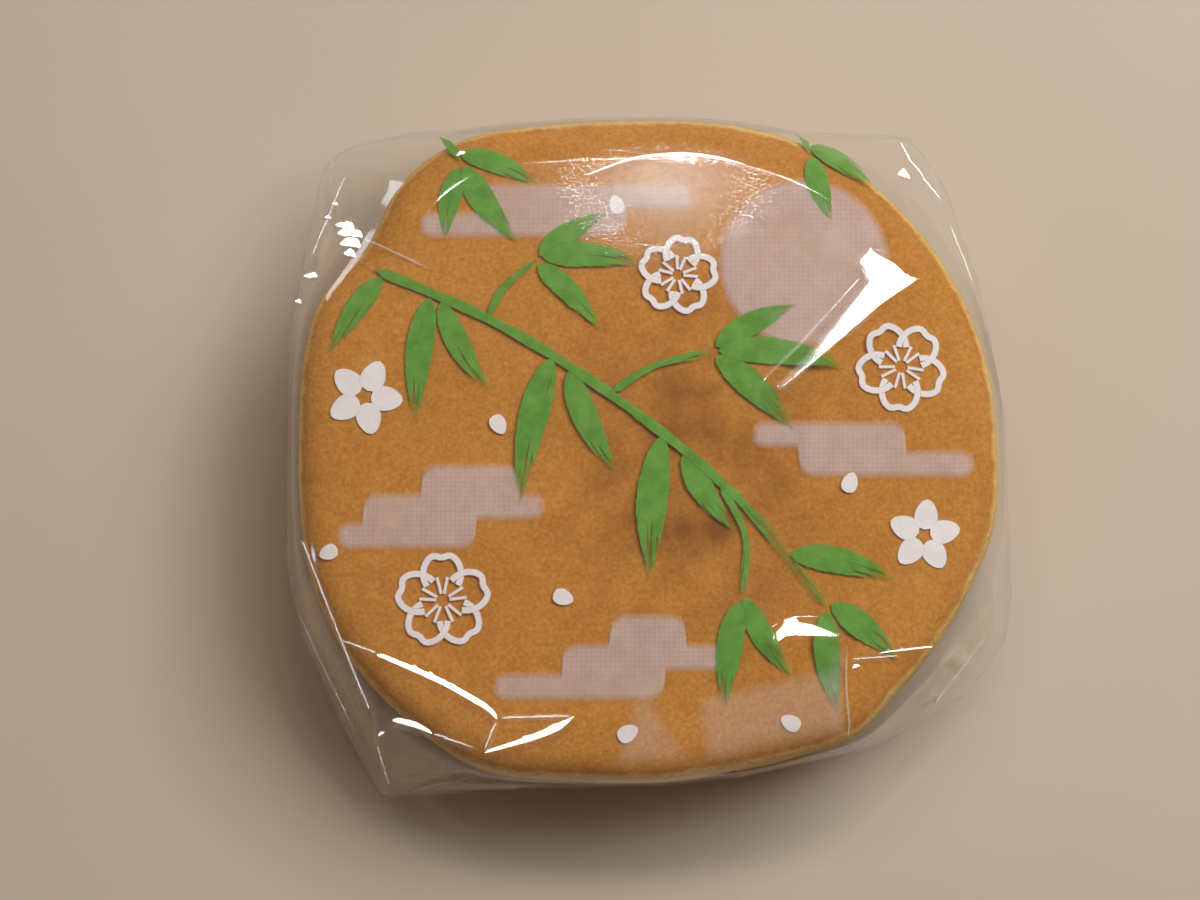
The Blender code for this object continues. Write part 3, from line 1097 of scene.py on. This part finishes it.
def build_print(film_tree, random):
    """The haze, the blossoms with loose petals, and the bamboo spray."""
    mist = [mist_band(bars, MIST_HALF_HEIGHT) for bars in MIST_BANDS] + [round_field(*ROUND_FIELD)]
    lines = []
    for blossom in BLOSSOMS:
        lines += outlined_blossom(*blossom, LINE_WIDTH)
    for blossom in FULL_BLOSSOMS:
        lines += full_blossom(*blossom)
    lines += [full_petal(*petal) for petal in LOOSE_PETALS]
    greens = [stem(BRANCH, BRANCH_WIDTH, random)]
    greens += [stem(twig, TWIG_WIDTH, random) for twig in TWIGS]
    greens += [leaf(*one, random) for one in LEAVES]
    return (
        lay_on_film("print_mist", mist, film_tree, MIST_DEPTH),
        lay_on_film("print_blossoms", lines, film_tree, *WHITE_DEPTHS),
        lay_on_film("print_bamboo", greens, film_tree, *GREEN_DEPTHS),
    )


# Folded film: thin milky fold lines that are painted highlights along the folds, raised pleats, and flaps
# where the film lies double

FOLD_LINE_HALF_WIDTH = 0.09
FOLD_LINE_STEP = 0.4
FOLD_LINE_GAP = 0.02
FLAP_GAP = 0.03
FLAP_POINTS = 36
TOP_FOLD_LINES = (
    ((-14.3, -27.2), (-15.0, -29.2)),
    ((18.2, -18.8), (18.3, -23.0), (18.5, -27.4)),
    ((-27.0, 19.6), (-20.4, 16.4)),
)
WALL_FOLD_LINES = (
    ((193, 14.0), (204, 10.5), (216, 7.5), (232.8, 4.3)),
    ((232.8, 4.3), (228, 11.0), (224, 18.2)),
    ((232.8, 4.3), (240, 12.0), (242, 17.0)),
    ((232.8, 4.3), (250, 6.5), (268, 8.4)),
    ((327, 7.5), (318, 13.0), (314, 17.2)),
    ((327, 7.5), (334, 13.0), (338, 17.0)),
    ((327, 7.5), (310, 7.8), (296, 8.4)),
    ((47, 11.0), (41, 14.5), (36, 17.4)),
    ((47, 11.0), (54, 14.5), (57, 17.2)),
    ((47, 11.0), (62, 10.4), (78, 9.8)),
    ((136, 10.5), (129, 14.0), (126, 17.0)),
    ((136, 10.5), (141, 14.0), (143, 17.2)),
    ((136, 10.5), (148, 13.5), (154, 16.0)),
    ((136, 10.5), (120, 10.0), (104, 9.4)),
)
# Flaps of doubled film as four corners anticlockwise, from the cake's middle
FLAPS = (
    ((-3.6, -30.1), (4.2, -29.7), (0.2, -23.2), (-1.2, -23.2)),
    ((5.1, -29.9), (18.2, -27.0), (18.0, -20.2), (4.2, -23.6)),
    ((16.3, -27.4), (18.4, -27.0), (18.2, -18.9), (16.4, -19.6)),
)
# In the ears the doubled film is tinted warm cream: partly a painted reflection of the cake's side.
EAR_FLAPS = (
    ((-33.4, -14.0), (-27.5, -26.6), (-25.6, -26.6), (-31.2, -12.4)),
    ((-25.0, -31.4), (-18.4, -31.2), (-18.6, -29.0), (-25.0, -27.4)),
    ((-28.0, -25.6), (-25.6, -29.4), (-24.2, -27.0), (-26.0, -24.6)),
    ((25.6, -25.2), (33.2, -17.4), (32.0, -13.6), (27.0, -19.6)),
    ((-29.8, 23.6), (-33.0, 17.4), (-30.4, 15.4), (-27.0, 21.4)),
)


def fold_line(points, film_tree):
    """A narrow strip on the film along a line in space: its points and quads."""
    dense = [points[0]]
    for start, end in zip(points[:-1], points[1:]):
        dense += between(start, end, max(int(np.linalg.norm(end - start) / FOLD_LINE_STEP), 2))
    found = [film_tree.find_nearest(Vector(point * METRES_PER_MM)) for point in dense]
    line = np.array([hit[0] for hit in found]) / METRES_PER_MM
    normals = np.array([hit[1] for hit in found])
    line = np.vstack((line[:1], (line[:-2] + 2 * line[1:-1] + line[2:]) / 4, line[-1:]))
    sideways = np.cross(normals, np.gradient(line, axis=0))
    sideways /= np.maximum(np.linalg.norm(sideways, axis=1), 1e-9)[:, None]
    count = np.arange(len(line))
    half = FOLD_LINE_HALF_WIDTH * np.clip(np.minimum(count, count[::-1]) / 4, 0.15, 1)[:, None]
    edges = np.stack((line - sideways * half, line + sideways * half), axis=1)
    return grid_part(edges + normals[:, None] * FOLD_LINE_GAP)


def build_fold_lines(film_tree):
    """Milky fold lines on the top and down the walls, painted highlights where the folds catch light."""
    lines = [[on_top(*corner) for corner in line] for line in TOP_FOLD_LINES]
    lines += [[on_wall(*corner) for corner in line] for line in WALL_FOLD_LINES]
    return joined("fold_lines", [fold_line(line, film_tree) for line in lines])


def pleat_lines(crest, widths):
    """Stations along a crest: places, widths behind it and the way behind."""
    dense = curve_through(crest, PLEAT_STEP)
    run = np.gradient(dense, axis=0)
    run /= np.linalg.norm(run, axis=1)[:, None]
    behind = np.stack((-run[:, 1], run[:, 0]), axis=1)
    gone = distance_along(dense)
    chosen = distance_along(crest)
    width = np.interp(gone / gone[-1], chosen / chosen[-1], widths)
    from_end = np.minimum(gone, gone[-1] - gone)
    return dense, width * np.clip(PLEAT_END_SHARE + from_end / PLEAT_END_RUN, 0, 1), behind


def pleat(crest, widths, front_width, faces, film_tree):
    """A raised pleat: flat faces that mirror the window, and the film that joins them to the pack."""
    dense, width, behind = pleat_lines(crest, widths)
    strips = []
    for part in np.array_split(np.arange(len(dense) - 1), faces):
        chosen = np.arange(part[0], part[-1] + 2)
        line = dense[chosen]
        half_way = line.mean(axis=0)
        along = (line[-1] - line[0]) / np.linalg.norm(line[-1] - line[0])
        slopes = [mirror_slope(*half_way, lamp) for lamp in range(len(WINDOW_DIRECTIONS))]
        slope = min(slopes, key=lambda one: abs(one @ along))
        back = line + behind[chosen] * width[chosen][:, None]
        lift = max(
            (drop_to_film(line, film_tree)[0][:, 2] + line @ slope).max() + PLEAT_GAP,
            (drop_to_film(back, film_tree)[0][:, 2] + back @ slope).max() + PLEAT_GAP / 2,
        )
        top = np.column_stack((line + CAKE_MIDDLE[:2], lift - line @ slope))
        foot = np.column_stack((back + CAKE_MIDDLE[:2], lift - back @ slope))
        front = drop_to_film(line - behind[chosen] * front_width, film_tree)[0]
        skirt = drop_to_film(back + behind[chosen] * PLEAT_SKIRT, film_tree)[0]
        strips += [grid_part(np.stack(pair)) for pair in ((foot, top), (top, front), (skirt, foot))]
    return strips


def build_pleats(name, pleats, film_tree):
    """Raised pleats as one mesh."""
    return joined(name, [strip for one in pleats for strip in pleat(*one, film_tree)])


def flap(corners):
    """A four-cornered patch."""
    first, second, third, fourth = np.array(corners)
    along = np.linspace(0, 1, FLAP_POINTS)[:, None, None]
    across = np.linspace(1, 0, FLAP_POINTS)[None, :, None]
    grid = (1 - along) * ((1 - across) * first + across * second)
    grid += along * ((1 - across) * fourth + across * third)
    depth = np.full(grid.shape[:2], np.inf)
    for start, end in zip(corners, corners[1:] + corners[:1]):
        side = np.subtract(end, start) / math.dist(start, end)
        depth = np.minimum(depth, (grid - start) @ np.array((-side[1], side[0])))
    return patch(grid, np.maximum(depth, 0))


def build_flaps(name, flaps, film_tree):
    """Flaps of doubled film as one mesh that lies on the film."""
    return lay_on_film(name, [flap(corners) for corners in flaps], film_tree, -FLAP_GAP)


# Seals folded under the pack

SEAL_RIB_PITCH = 1.1
SEAL_RIB_HEIGHT = 0.035
TOOTH_PITCH = 1.6
TOOTH_DEPTH = 0.7
# The folded ends, from the fold to the zigzag edge, narrower towards that edge
END_SEAL_FOLD = 28.8
END_SEAL_EDGE = 15.5
END_SEAL_INSET = 2.4
END_SEAL_HALF_WIDTH = 25.0
END_SEAL_NARROWING = 3.0
END_SEAL_HEIGHT = 0.10
END_SEAL_RISE = 0.12
# The fin along the underside, a little wavy and tilted
BACK_SEAL_HALF_LENGTH = 27.0
BACK_SEAL_HALF_WIDTH = 4.5
BACK_SEAL_HEIGHT = 0.27
BACK_SEAL_TILT = 0.03
BACK_SEAL_WAVE = 0.3
BACK_SEAL_RUN_PER_RADIAN = 9.0
BACK_SEAL_RIB_HEIGHT = 0.02


def underside_span(along, inset):
    """The leftmost and rightmost places inside the cake's outline by an inset, at a distance along."""
    across = np.linspace(-34, 34, 681)
    inside = np.hypot(across, along) < cake_reach(np.arctan2(np.full_like(across, along), across)) - inset
    return across[inside].min(), across[inside].max()


def ribs(along):
    """The pressed ribs of a seal, from -1 to 1."""
    return np.sin(2 * math.pi * along / SEAL_RIB_PITCH)


def build_end_seal(name, side):
    """One crimped end, folded flat under the pack, with ribs and a zigzag cut edge."""
    share = np.linspace(0, 1, 60)[:, None]
    length = END_SEAL_EDGE - END_SEAL_FOLD
    middle_line = side * (END_SEAL_FOLD + length * share[:, 0])
    spans = np.array([underside_span(along, END_SEAL_INSET) for along in middle_line])
    widest = END_SEAL_HALF_WIDTH - END_SEAL_NARROWING * share
    spans = np.clip(spans, -widest, widest)
    grid_x = spans[:, :1] + (spans[:, 1:] - spans[:, :1]) * np.linspace(0, 1, 161)
    tooth = np.abs((grid_x / TOOTH_PITCH) % 1 - 0.5) * 2 * TOOTH_DEPTH
    grid_y = END_SEAL_FOLD + (length + tooth) * share
    grid_z = END_SEAL_HEIGHT + END_SEAL_RISE * (1 - share) ** 2
    grid_z = grid_z + SEAL_RIB_HEIGHT * ribs(grid_y) * np.clip(share * 4 - 0.6, 0, 1)
    grid = np.stack((grid_x, side * grid_y, grid_z), axis=-1) + CAKE_MIDDLE
    return joined(name, [grid_part(grid, side > 0)])


def build_back_seal():
    """The fin where the film's two long edges join, lying flat along the underside."""
    along = np.linspace(-BACK_SEAL_HALF_LENGTH, BACK_SEAL_HALF_LENGTH, 221)[:, None]
    share = np.linspace(-1, 1, 25)
    grid_x = share * BACK_SEAL_HALF_WIDTH + BACK_SEAL_WAVE * np.sin(along / BACK_SEAL_RUN_PER_RADIAN)
    grid_z = BACK_SEAL_HEIGHT + BACK_SEAL_RIB_HEIGHT * ribs(along) - BACK_SEAL_TILT * share
    grid = np.stack((grid_x, along + 0 * share, grid_z), axis=-1) + CAKE_MIDDLE
    return joined("back_seal", [grid_part(grid)])


# Materials

class Nodes:
    """Adds nodes to the tree of a material or a world."""

    def __init__(self, owner):
        self.owner = owner
        owner.use_nodes = True
        self.tree = owner.node_tree
        self.tree.nodes.clear()

    def add(self, kind, inputs=None, output=0, **settings):
        """One output of a new node, whose inputs are given values or other nodes' outputs."""
        node = self.tree.nodes.new(kind)
        for name, value in settings.items():
            setattr(node, name, value)
        for name, value in (inputs or {}).items():
            if isinstance(value, bpy.types.NodeSocket):
                self.tree.links.new(value, node.inputs[name])
            else:
                node.inputs[name].default_value = value
        return node.outputs[output]

    def object_position(self):
        return self.add("ShaderNodeTexCoord", output="Object")

    def noise(self, lump_mm, detail, roughness):
        inputs = {"Scale": 1 / (lump_mm * METRES_PER_MM), "Detail": detail, "Roughness": roughness}
        return self.add("ShaderNodeTexNoise", {"Vector": self.object_position(), **inputs})

    def attribute(self, name):
        return self.add("ShaderNodeAttribute", output="Fac", attribute_name=name)

    def ramp(self, factor, stops):
        colour = self.add("ShaderNodeValToRGB", {"Fac": factor})
        elements = colour.node.color_ramp.elements
        while len(elements) < len(stops):
            elements.new(0.5)
        for element, (position, stop_colour) in zip(elements, stops):
            element.position = position
            element.color = stop_colour
        return colour

    def number_ramp(self, factor, stops):
        return self.ramp(factor, [(position, (value, value, value, 1)) for position, value in stops])

    def math(self, operation, first, second):
        return self.add("ShaderNodeMath", {0: first, 1: second}, operation=operation)

    def mix_colour(self, factor, first, second, blend="MIX"):
        inputs = {0: factor, 6: first, 7: second}
        return self.add("ShaderNodeMix", inputs, 2, data_type="RGBA", blend_type=blend)

    def bump(self, height, strength, distance_mm, under=None):
        inputs = {"Height": height, "Strength": strength, "Distance": distance_mm * METRES_PER_MM}
        return self.add("ShaderNodeBump", {**inputs, "Normal": under} if under else inputs)

    def mix_shader(self, share, first, second):
        return self.add("ShaderNodeMixShader", {0: share, 1: first, 2: second})

    def matte(self, colour, roughness, specular, more=None):
        inputs = {"Base Color": colour, "Roughness": roughness, "Specular IOR Level": specular}
        return self.add("ShaderNodeBsdfPrincipled", {**inputs, **(more or {})})

    def finish(self, shader, kind="ShaderNodeOutputMaterial"):
        self.tree.links.new(shader, self.tree.nodes.new(kind).inputs["Surface"])
        return self.owner


def srgb(red, green, blue):
    """A colour given as it looks on a screen, from 0 to 255, as Blender's own linear values."""
    linear = []
    for value in (red, green, blue):
        part = value / 255
        linear.append(part / 12.92 if part <= 0.04045 else ((part + 0.055) / 1.055) ** 2.4)
    return (*linear, 1.0)


def crust_material(name):
    """Browned cake crust: fine golden and brown grain, darker patches and a pale edge."""
    nodes = Nodes(bpy.data.materials.new(name))
    grain = nodes.noise(0.38, 4.0, 0.6)
    mottle = nodes.noise(1.9, 3.0, 0.55)
    broad = nodes.noise(15.0, 2.0, 0.5)
    pores = nodes.noise(0.5, 4.0, 0.65)
    browns = ((0.30, srgb(189, 119, 42)), (0.50, srgb(200, 133, 53)), (0.70, srgb(212, 148, 68)))
    mottled = ((0.30, (0.90, 0.86, 0.80, 1)), (0.50, (1.0, 1.0, 1.0, 1)), (0.72, (1.05, 1.07, 1.10, 1)))
    swept = ((0.34, (0.93, 0.90, 0.84, 1)), (0.62, (1.03, 1.04, 1.08, 1)))
    crumb = ((0.32, srgb(216, 166, 86)), (0.50, srgb(235, 190, 106)), (0.68, srgb(242, 206, 130)))
    colour = nodes.mix_colour(0.7, nodes.ramp(grain, browns), nodes.ramp(mottle, mottled), "MULTIPLY")
    colour = nodes.mix_colour(0.8, colour, nodes.ramp(broad, swept), "MULTIPLY")
    stain = nodes.math("MULTIPLY", nodes.attribute("stain"), 0.85)
    colour = nodes.mix_colour(stain, colour, srgb(116, 58, 18))
    uneven = nodes.math("MULTIPLY", nodes.math("SUBTRACT", mottle, 0.5), 1.3)
    edge = nodes.math("ADD", nodes.attribute("pale"), uneven)
    pale = nodes.number_ramp(edge, ((0.15, 0.0), (0.85, 0.95)))
    colour = nodes.mix_colour(pale, colour, nodes.ramp(pores, crumb))
    skin = nodes.bump(grain, 0.35, 0.10)
    open_crumb = nodes.bump(nodes.math("MULTIPLY", pores, pale), 0.6, 0.22, skin)
    return nodes.finish(nodes.matte(colour, 0.8, 0.2, {"Normal": open_crumb}))


def crumb_material():
    """Pale yellow sponge: fine open pores and uneven colour."""
    nodes = Nodes(bpy.data.materials.new("crumb"))
    pores = nodes.noise(0.5, 4.0, 0.65)
    yellows = ((0.32, srgb(202, 160, 98)), (0.48, srgb(221, 186, 122)), (0.66, srgb(232, 204, 146)))
    warm = ((0.35, (0.92, 0.88, 0.80, 1)), (0.62, (1.04, 1.04, 1.04, 1)))
    uneven = nodes.ramp(nodes.noise(5.0, 2.0, 0.5), warm)
    colour = nodes.mix_colour(0.8, nodes.ramp(pores, yellows), uneven, "MULTIPLY")
    soft = {"Subsurface Weight": 0.15, "Subsurface Radius": (0.002, 0.0012, 0.0006)}
    return nodes.finish(nodes.matte(colour, 0.85, 0.2, {**soft, "Normal": nodes.bump(pores, 0.6, 0.22)}))


# Roughness of the film's gloss and of its soft sheen where it is rubbed, and the most of that sheen
GLOSS_ROUGHNESS = 0.09
SHEEN_ROUGHNESS = 0.28
RUBBED_SHARE = 0.13


def film_material(name, haze, gloss_facing=0.075):
    """Thin clear film: seen through, with a faint milkiness and a gloss that grows at a slant."""
    nodes = Nodes(bpy.data.materials.new(name))
    slant = nodes.math("POWER", nodes.add("ShaderNodeLayerWeight", {"Blend": 0.5}, "Facing"), 4.0)
    gloss_share = nodes.math("ADD", nodes.math("MULTIPLY", slant, 0.75), gloss_facing)
    streaks = nodes.math("MULTIPLY", nodes.noise(5.0, 3.0, 0.6), 0.6)
    cloud = nodes.math("MULTIPLY", nodes.math("ADD", streaks, 0.7), haze)
    clear = nodes.add("ShaderNodeBsdfTransparent", {"Color": (0.985, 0.985, 0.982, 1)})
    milky = nodes.add("ShaderNodeBsdfDiffuse", {"Color": (0.88, 0.89, 0.90, 1)})
    body = nodes.mix_shader(nodes.math("ADD", nodes.math("MULTIPLY", slant, 0.10), cloud), clear, milky)
    ripple = nodes.bump(nodes.noise(1.4, 2.0, 0.5), 0.12, 0.03)
    peaks = nodes.number_ramp(nodes.noise(0.21, 0.0, 0.5), ((0.50, 0.0), (0.78, 1.0)))
    specks = nodes.math("MULTIPLY", peaks, nodes.attribute("touch"))
    touching = nodes.bump(specks, 1.0, 0.042, ripple)
    white = {"Color": (1, 1, 1, 1)}
    gloss = nodes.add("ShaderNodeBsdfGlossy", {**white, "Roughness": GLOSS_ROUGHNESS, "Normal": touching})
    sheen = nodes.add("ShaderNodeBsdfGlossy", {**white, "Roughness": SHEEN_ROUGHNESS})
    rubbed = nodes.math("MULTIPLY", nodes.attribute("rubbed"), RUBBED_SHARE)
    return nodes.finish(nodes.mix_shader(rubbed, nodes.mix_shader(gloss_share, body, gloss), sheen))


def ink_material(name, light, dark, cover, soft_edge_mm, dots=0.0, dry=0.0):
    """Ink on film: nearly even colour, a soft edge, a fine dot screen and dry brush streaks."""
    nodes = Nodes(bpy.data.materials.new(name))
    colour = nodes.ramp(nodes.noise(1.8, 3.0, 0.6), ((0.35, srgb(*dark)), (0.65, srgb(*light))))
    inside = nodes.math("MINIMUM", nodes.math("DIVIDE", nodes.attribute("depth"), soft_edge_mm), 1.0)
    share = nodes.math("MULTIPLY", inside, cover)
    if dots:
        screen = {"Scale": 1 / (0.45 * METRES_PER_MM), "Randomness": 0.15}
        screen["Vector"] = nodes.object_position()
        distance = nodes.add("ShaderNodeTexVoronoi", screen, "Distance")
        dot = nodes.number_ramp(distance, ((0.25, 1.0), (0.65, 1.0 - dots)))
        share = nodes.math("MULTIPLY", share, dot)
    if dry:
        along = nodes.math("MULTIPLY", nodes.attribute("along"), 0.16)
        across = nodes.math("MULTIPLY", nodes.attribute("across"), 2.6)
        place_on_stroke = nodes.add("ShaderNodeCombineXYZ", {0: along, 1: across})
        streak = nodes.add("ShaderNodeTexNoise", {"Vector": place_on_stroke, "Scale": 1.0, "Detail": 2.0})
        dryness = nodes.math("MULTIPLY", nodes.attribute("dryness"), 0.34)
        kept = nodes.number_ramp(nodes.math("SUBTRACT", streak, dryness), ((0.22, 1.0 - dry), (0.32, 1.0)))
        share = nodes.math("MULTIPLY", share, kept)
    clear = nodes.add("ShaderNodeBsdfTransparent")
    return nodes.finish(nodes.mix_shader(share, clear, nodes.matte(colour, 0.6, 0.1)))


def floor_material():
    """A plain pale floor, very slightly uneven in tone."""
    nodes = Nodes(bpy.data.materials.new("floor"))
    tones = ((0.3, srgb(197, 179, 158)), (0.7, srgb(203, 185, 165)))
    return nodes.finish(nodes.matte(nodes.ramp(nodes.noise(60.0, 2.0, 0.5), tones), 0.9, 0.1))


# Stage, light and camera

FLOOR_HALF = 600.0
DAYLIGHT = (1.0, 0.98, 0.95)
# Lamps as (name, direction, distance, width, height, watts, colour), with sizes in metres
LAMPS = (
    ("window middle", WINDOW_DIRECTIONS[0], WINDOW_DISTANCE * METRES_PER_MM, 0.060, 0.06, 0.29, DAYLIGHT),
    ("window right", WINDOW_DIRECTIONS[1], WINDOW_DISTANCE * METRES_PER_MM, 0.034, 0.06, 0.165, DAYLIGHT),
    ("window left", WINDOW_DIRECTIONS[2], WINDOW_DISTANCE * METRES_PER_MM, 0.034, 0.06, 0.165, DAYLIGHT),
    ("key", (0.41, 0.30, 0.86), 0.38, 0.19, 0.19, 1.14, (0.88, 0.94, 1.0)),
    ("left", (-0.85, -0.10, 0.40), 0.70, 0.03, 0.12, 0.11, (0.62, 0.70, 1.0)),
    ("back left", (-0.70, 0.62, 0.30), 0.80, 0.16, 0.16, 0.40, (0.92, 0.95, 1.0)),
)
LAMP_TARGET = (0, 0, 0.015)
SENSOR_MM = 36.0


def build_floor():
    """The floor, which is stage."""
    corners = np.array(((-1, -1, 0), (1, -1, 0), (1, 1, 0), (-1, 1, 0))) * FLOOR_HALF
    floor = new_mesh_object("floor", corners, [(0, 1, 2, 3)])
    floor.data.materials.append(floor_material())


def set_up(name, data, location, target):
    """A lamp or camera object at a place in metres, turned to a target."""
    made = bpy.data.objects.new(name, data)
    bpy.context.scene.collection.objects.link(made)
    made.location = location
    made.rotation_euler = (Vector(target) - made.location).to_track_quat("-Z", "Y").to_euler()
    return made


def build_light():
    """The rectangular lamps, all of them facing the pack. The key lamp isn't mirrored in the film."""
    for name, direction, distance, width, height, watts, colour in LAMPS:
        data = bpy.data.lights.new(name, "AREA")
        data.shape = "RECTANGLE"
        data.size = width
        data.size_y = height
        data.energy = watts
        data.color = colour
        lamp = set_up(name, data, Vector(direction).normalized() * distance, LAMP_TARGET)
        lamp.visible_glossy = name != "key"


def build_room():
    """A dim room, brighter low down towards the back than overhead or at the front."""
    world = bpy.data.worlds.new("room")
    nodes = Nodes(world)
    direction = nodes.add("ShaderNodeTexCoord", output="Generated")
    height = nodes.add("ShaderNodeSeparateXYZ", {0: direction}, "Z")
    depth = nodes.add("ShaderNodeSeparateXYZ", {0: direction}, "Y")
    low = nodes.math("POWER", nodes.math("SUBTRACT", 1.0, nodes.math("ABSOLUTE", height, 0.0)), 2.0)
    behind = nodes.math("ADD", nodes.math("MULTIPLY", depth, 0.4), 0.6)
    glow = nodes.math("MULTIPLY", nodes.math("MULTIPLY", low, behind), 0.33)
    light = {"Color": (1.0, 0.80, 0.60, 1), "Strength": nodes.math("ADD", glow, 0.088)}
    nodes.finish(nodes.add("ShaderNodeBackground", light), "ShaderNodeOutputWorld")
    bpy.context.scene.world = world


def build_camera():
    """The camera at the photograph's viewing angle."""
    data = bpy.data.cameras.new("camera")
    data.sensor_width = SENSOR_MM
    data.lens = SENSOR_MM * CAMERA_DISTANCE / PHOTO_WIDTH_MM
    data.clip_start = 0.01
    places = CAMERA_PLACE_MM * METRES_PER_MM, CAMERA_TARGET_MM * METRES_PER_MM
    bpy.context.scene.camera = set_up("camera", data, *places)


def main():
    bpy.context.scene.view_settings.view_transform = "Standard"
    build_camera()
    build_light()
    build_room()
    build_floor()

    random = np.random.default_rng(SEED)
    film = build_film(random)
    film_tree = tree_of(film)
    crust, crumb, base = build_cake()
    mist, blossoms, bamboo = build_print(film_tree, random)
    bright_film = film_material("bright_film", haze=0.014)
    # The dim pleats' film has a weaker gloss than the rest: painted shade that dims their highlights.
    dim_film = film_material("dim_film", haze=0.06, gloss_facing=0.022)
    double_film = film_material("double_film", haze=0.07)
    mist_ink = ink_material("mist_ink", (242, 229, 226), (230, 215, 212), 0.46, 0.8, dots=0.16)
    white_ink = ink_material("white_ink", (247, 235, 229), (239, 227, 221), 0.97, 0.10)
    green_ink = ink_material("green_ink", (116, 166, 70), (98, 148, 53), 0.94, 0.10, dry=0.7)
    flap_film = ink_material("flap_film", (244, 238, 228), (232, 224, 212), 0.12, 1.1)
    # The ear flaps' warm tint is partly a painted reflection of the cake's side.
    ear_film = ink_material("ear_film", (250, 232, 200), (240, 219, 184), 0.34, 0.9)
    pieces = (
        (film, film_material("film", haze=0.014), "film"),
        (crust, crust_material("crust"), "crust"),
        (crumb, crumb_material(), "crumb"),
        (base, crust_material("base_crust"), "crust"),
        (mist, mist_ink, "print_white"),
        (blossoms, white_ink, "print_white"),
        (bamboo, green_ink, "print_green"),
        # The fold lines' milky film is a painted highlight along the folds.
        (build_fold_lines(film_tree), film_material("fold_highlight_film", haze=0.28), "film"),
        (build_pleats("bright_pleats", BRIGHT_PLEATS, film_tree), bright_film, "film"),
        (build_pleats("dim_pleats", DIM_PLEATS, film_tree), dim_film, "film"),
        (build_flaps("folded_film", FLAPS, film_tree), flap_film, "film"),
        (build_flaps("ear_flaps", EAR_FLAPS, film_tree), ear_film, "film"),
        (build_end_seal("end_seal_back", 1), double_film, "film"),
        (build_end_seal("end_seal_front", -1), double_film, "film"),
        (build_back_seal(), double_film, "film"),
    )
    for made, material, slot in pieces:
        made.data.materials.append(material)
        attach(made, "root")
    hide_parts("wrapped_manju")


main()
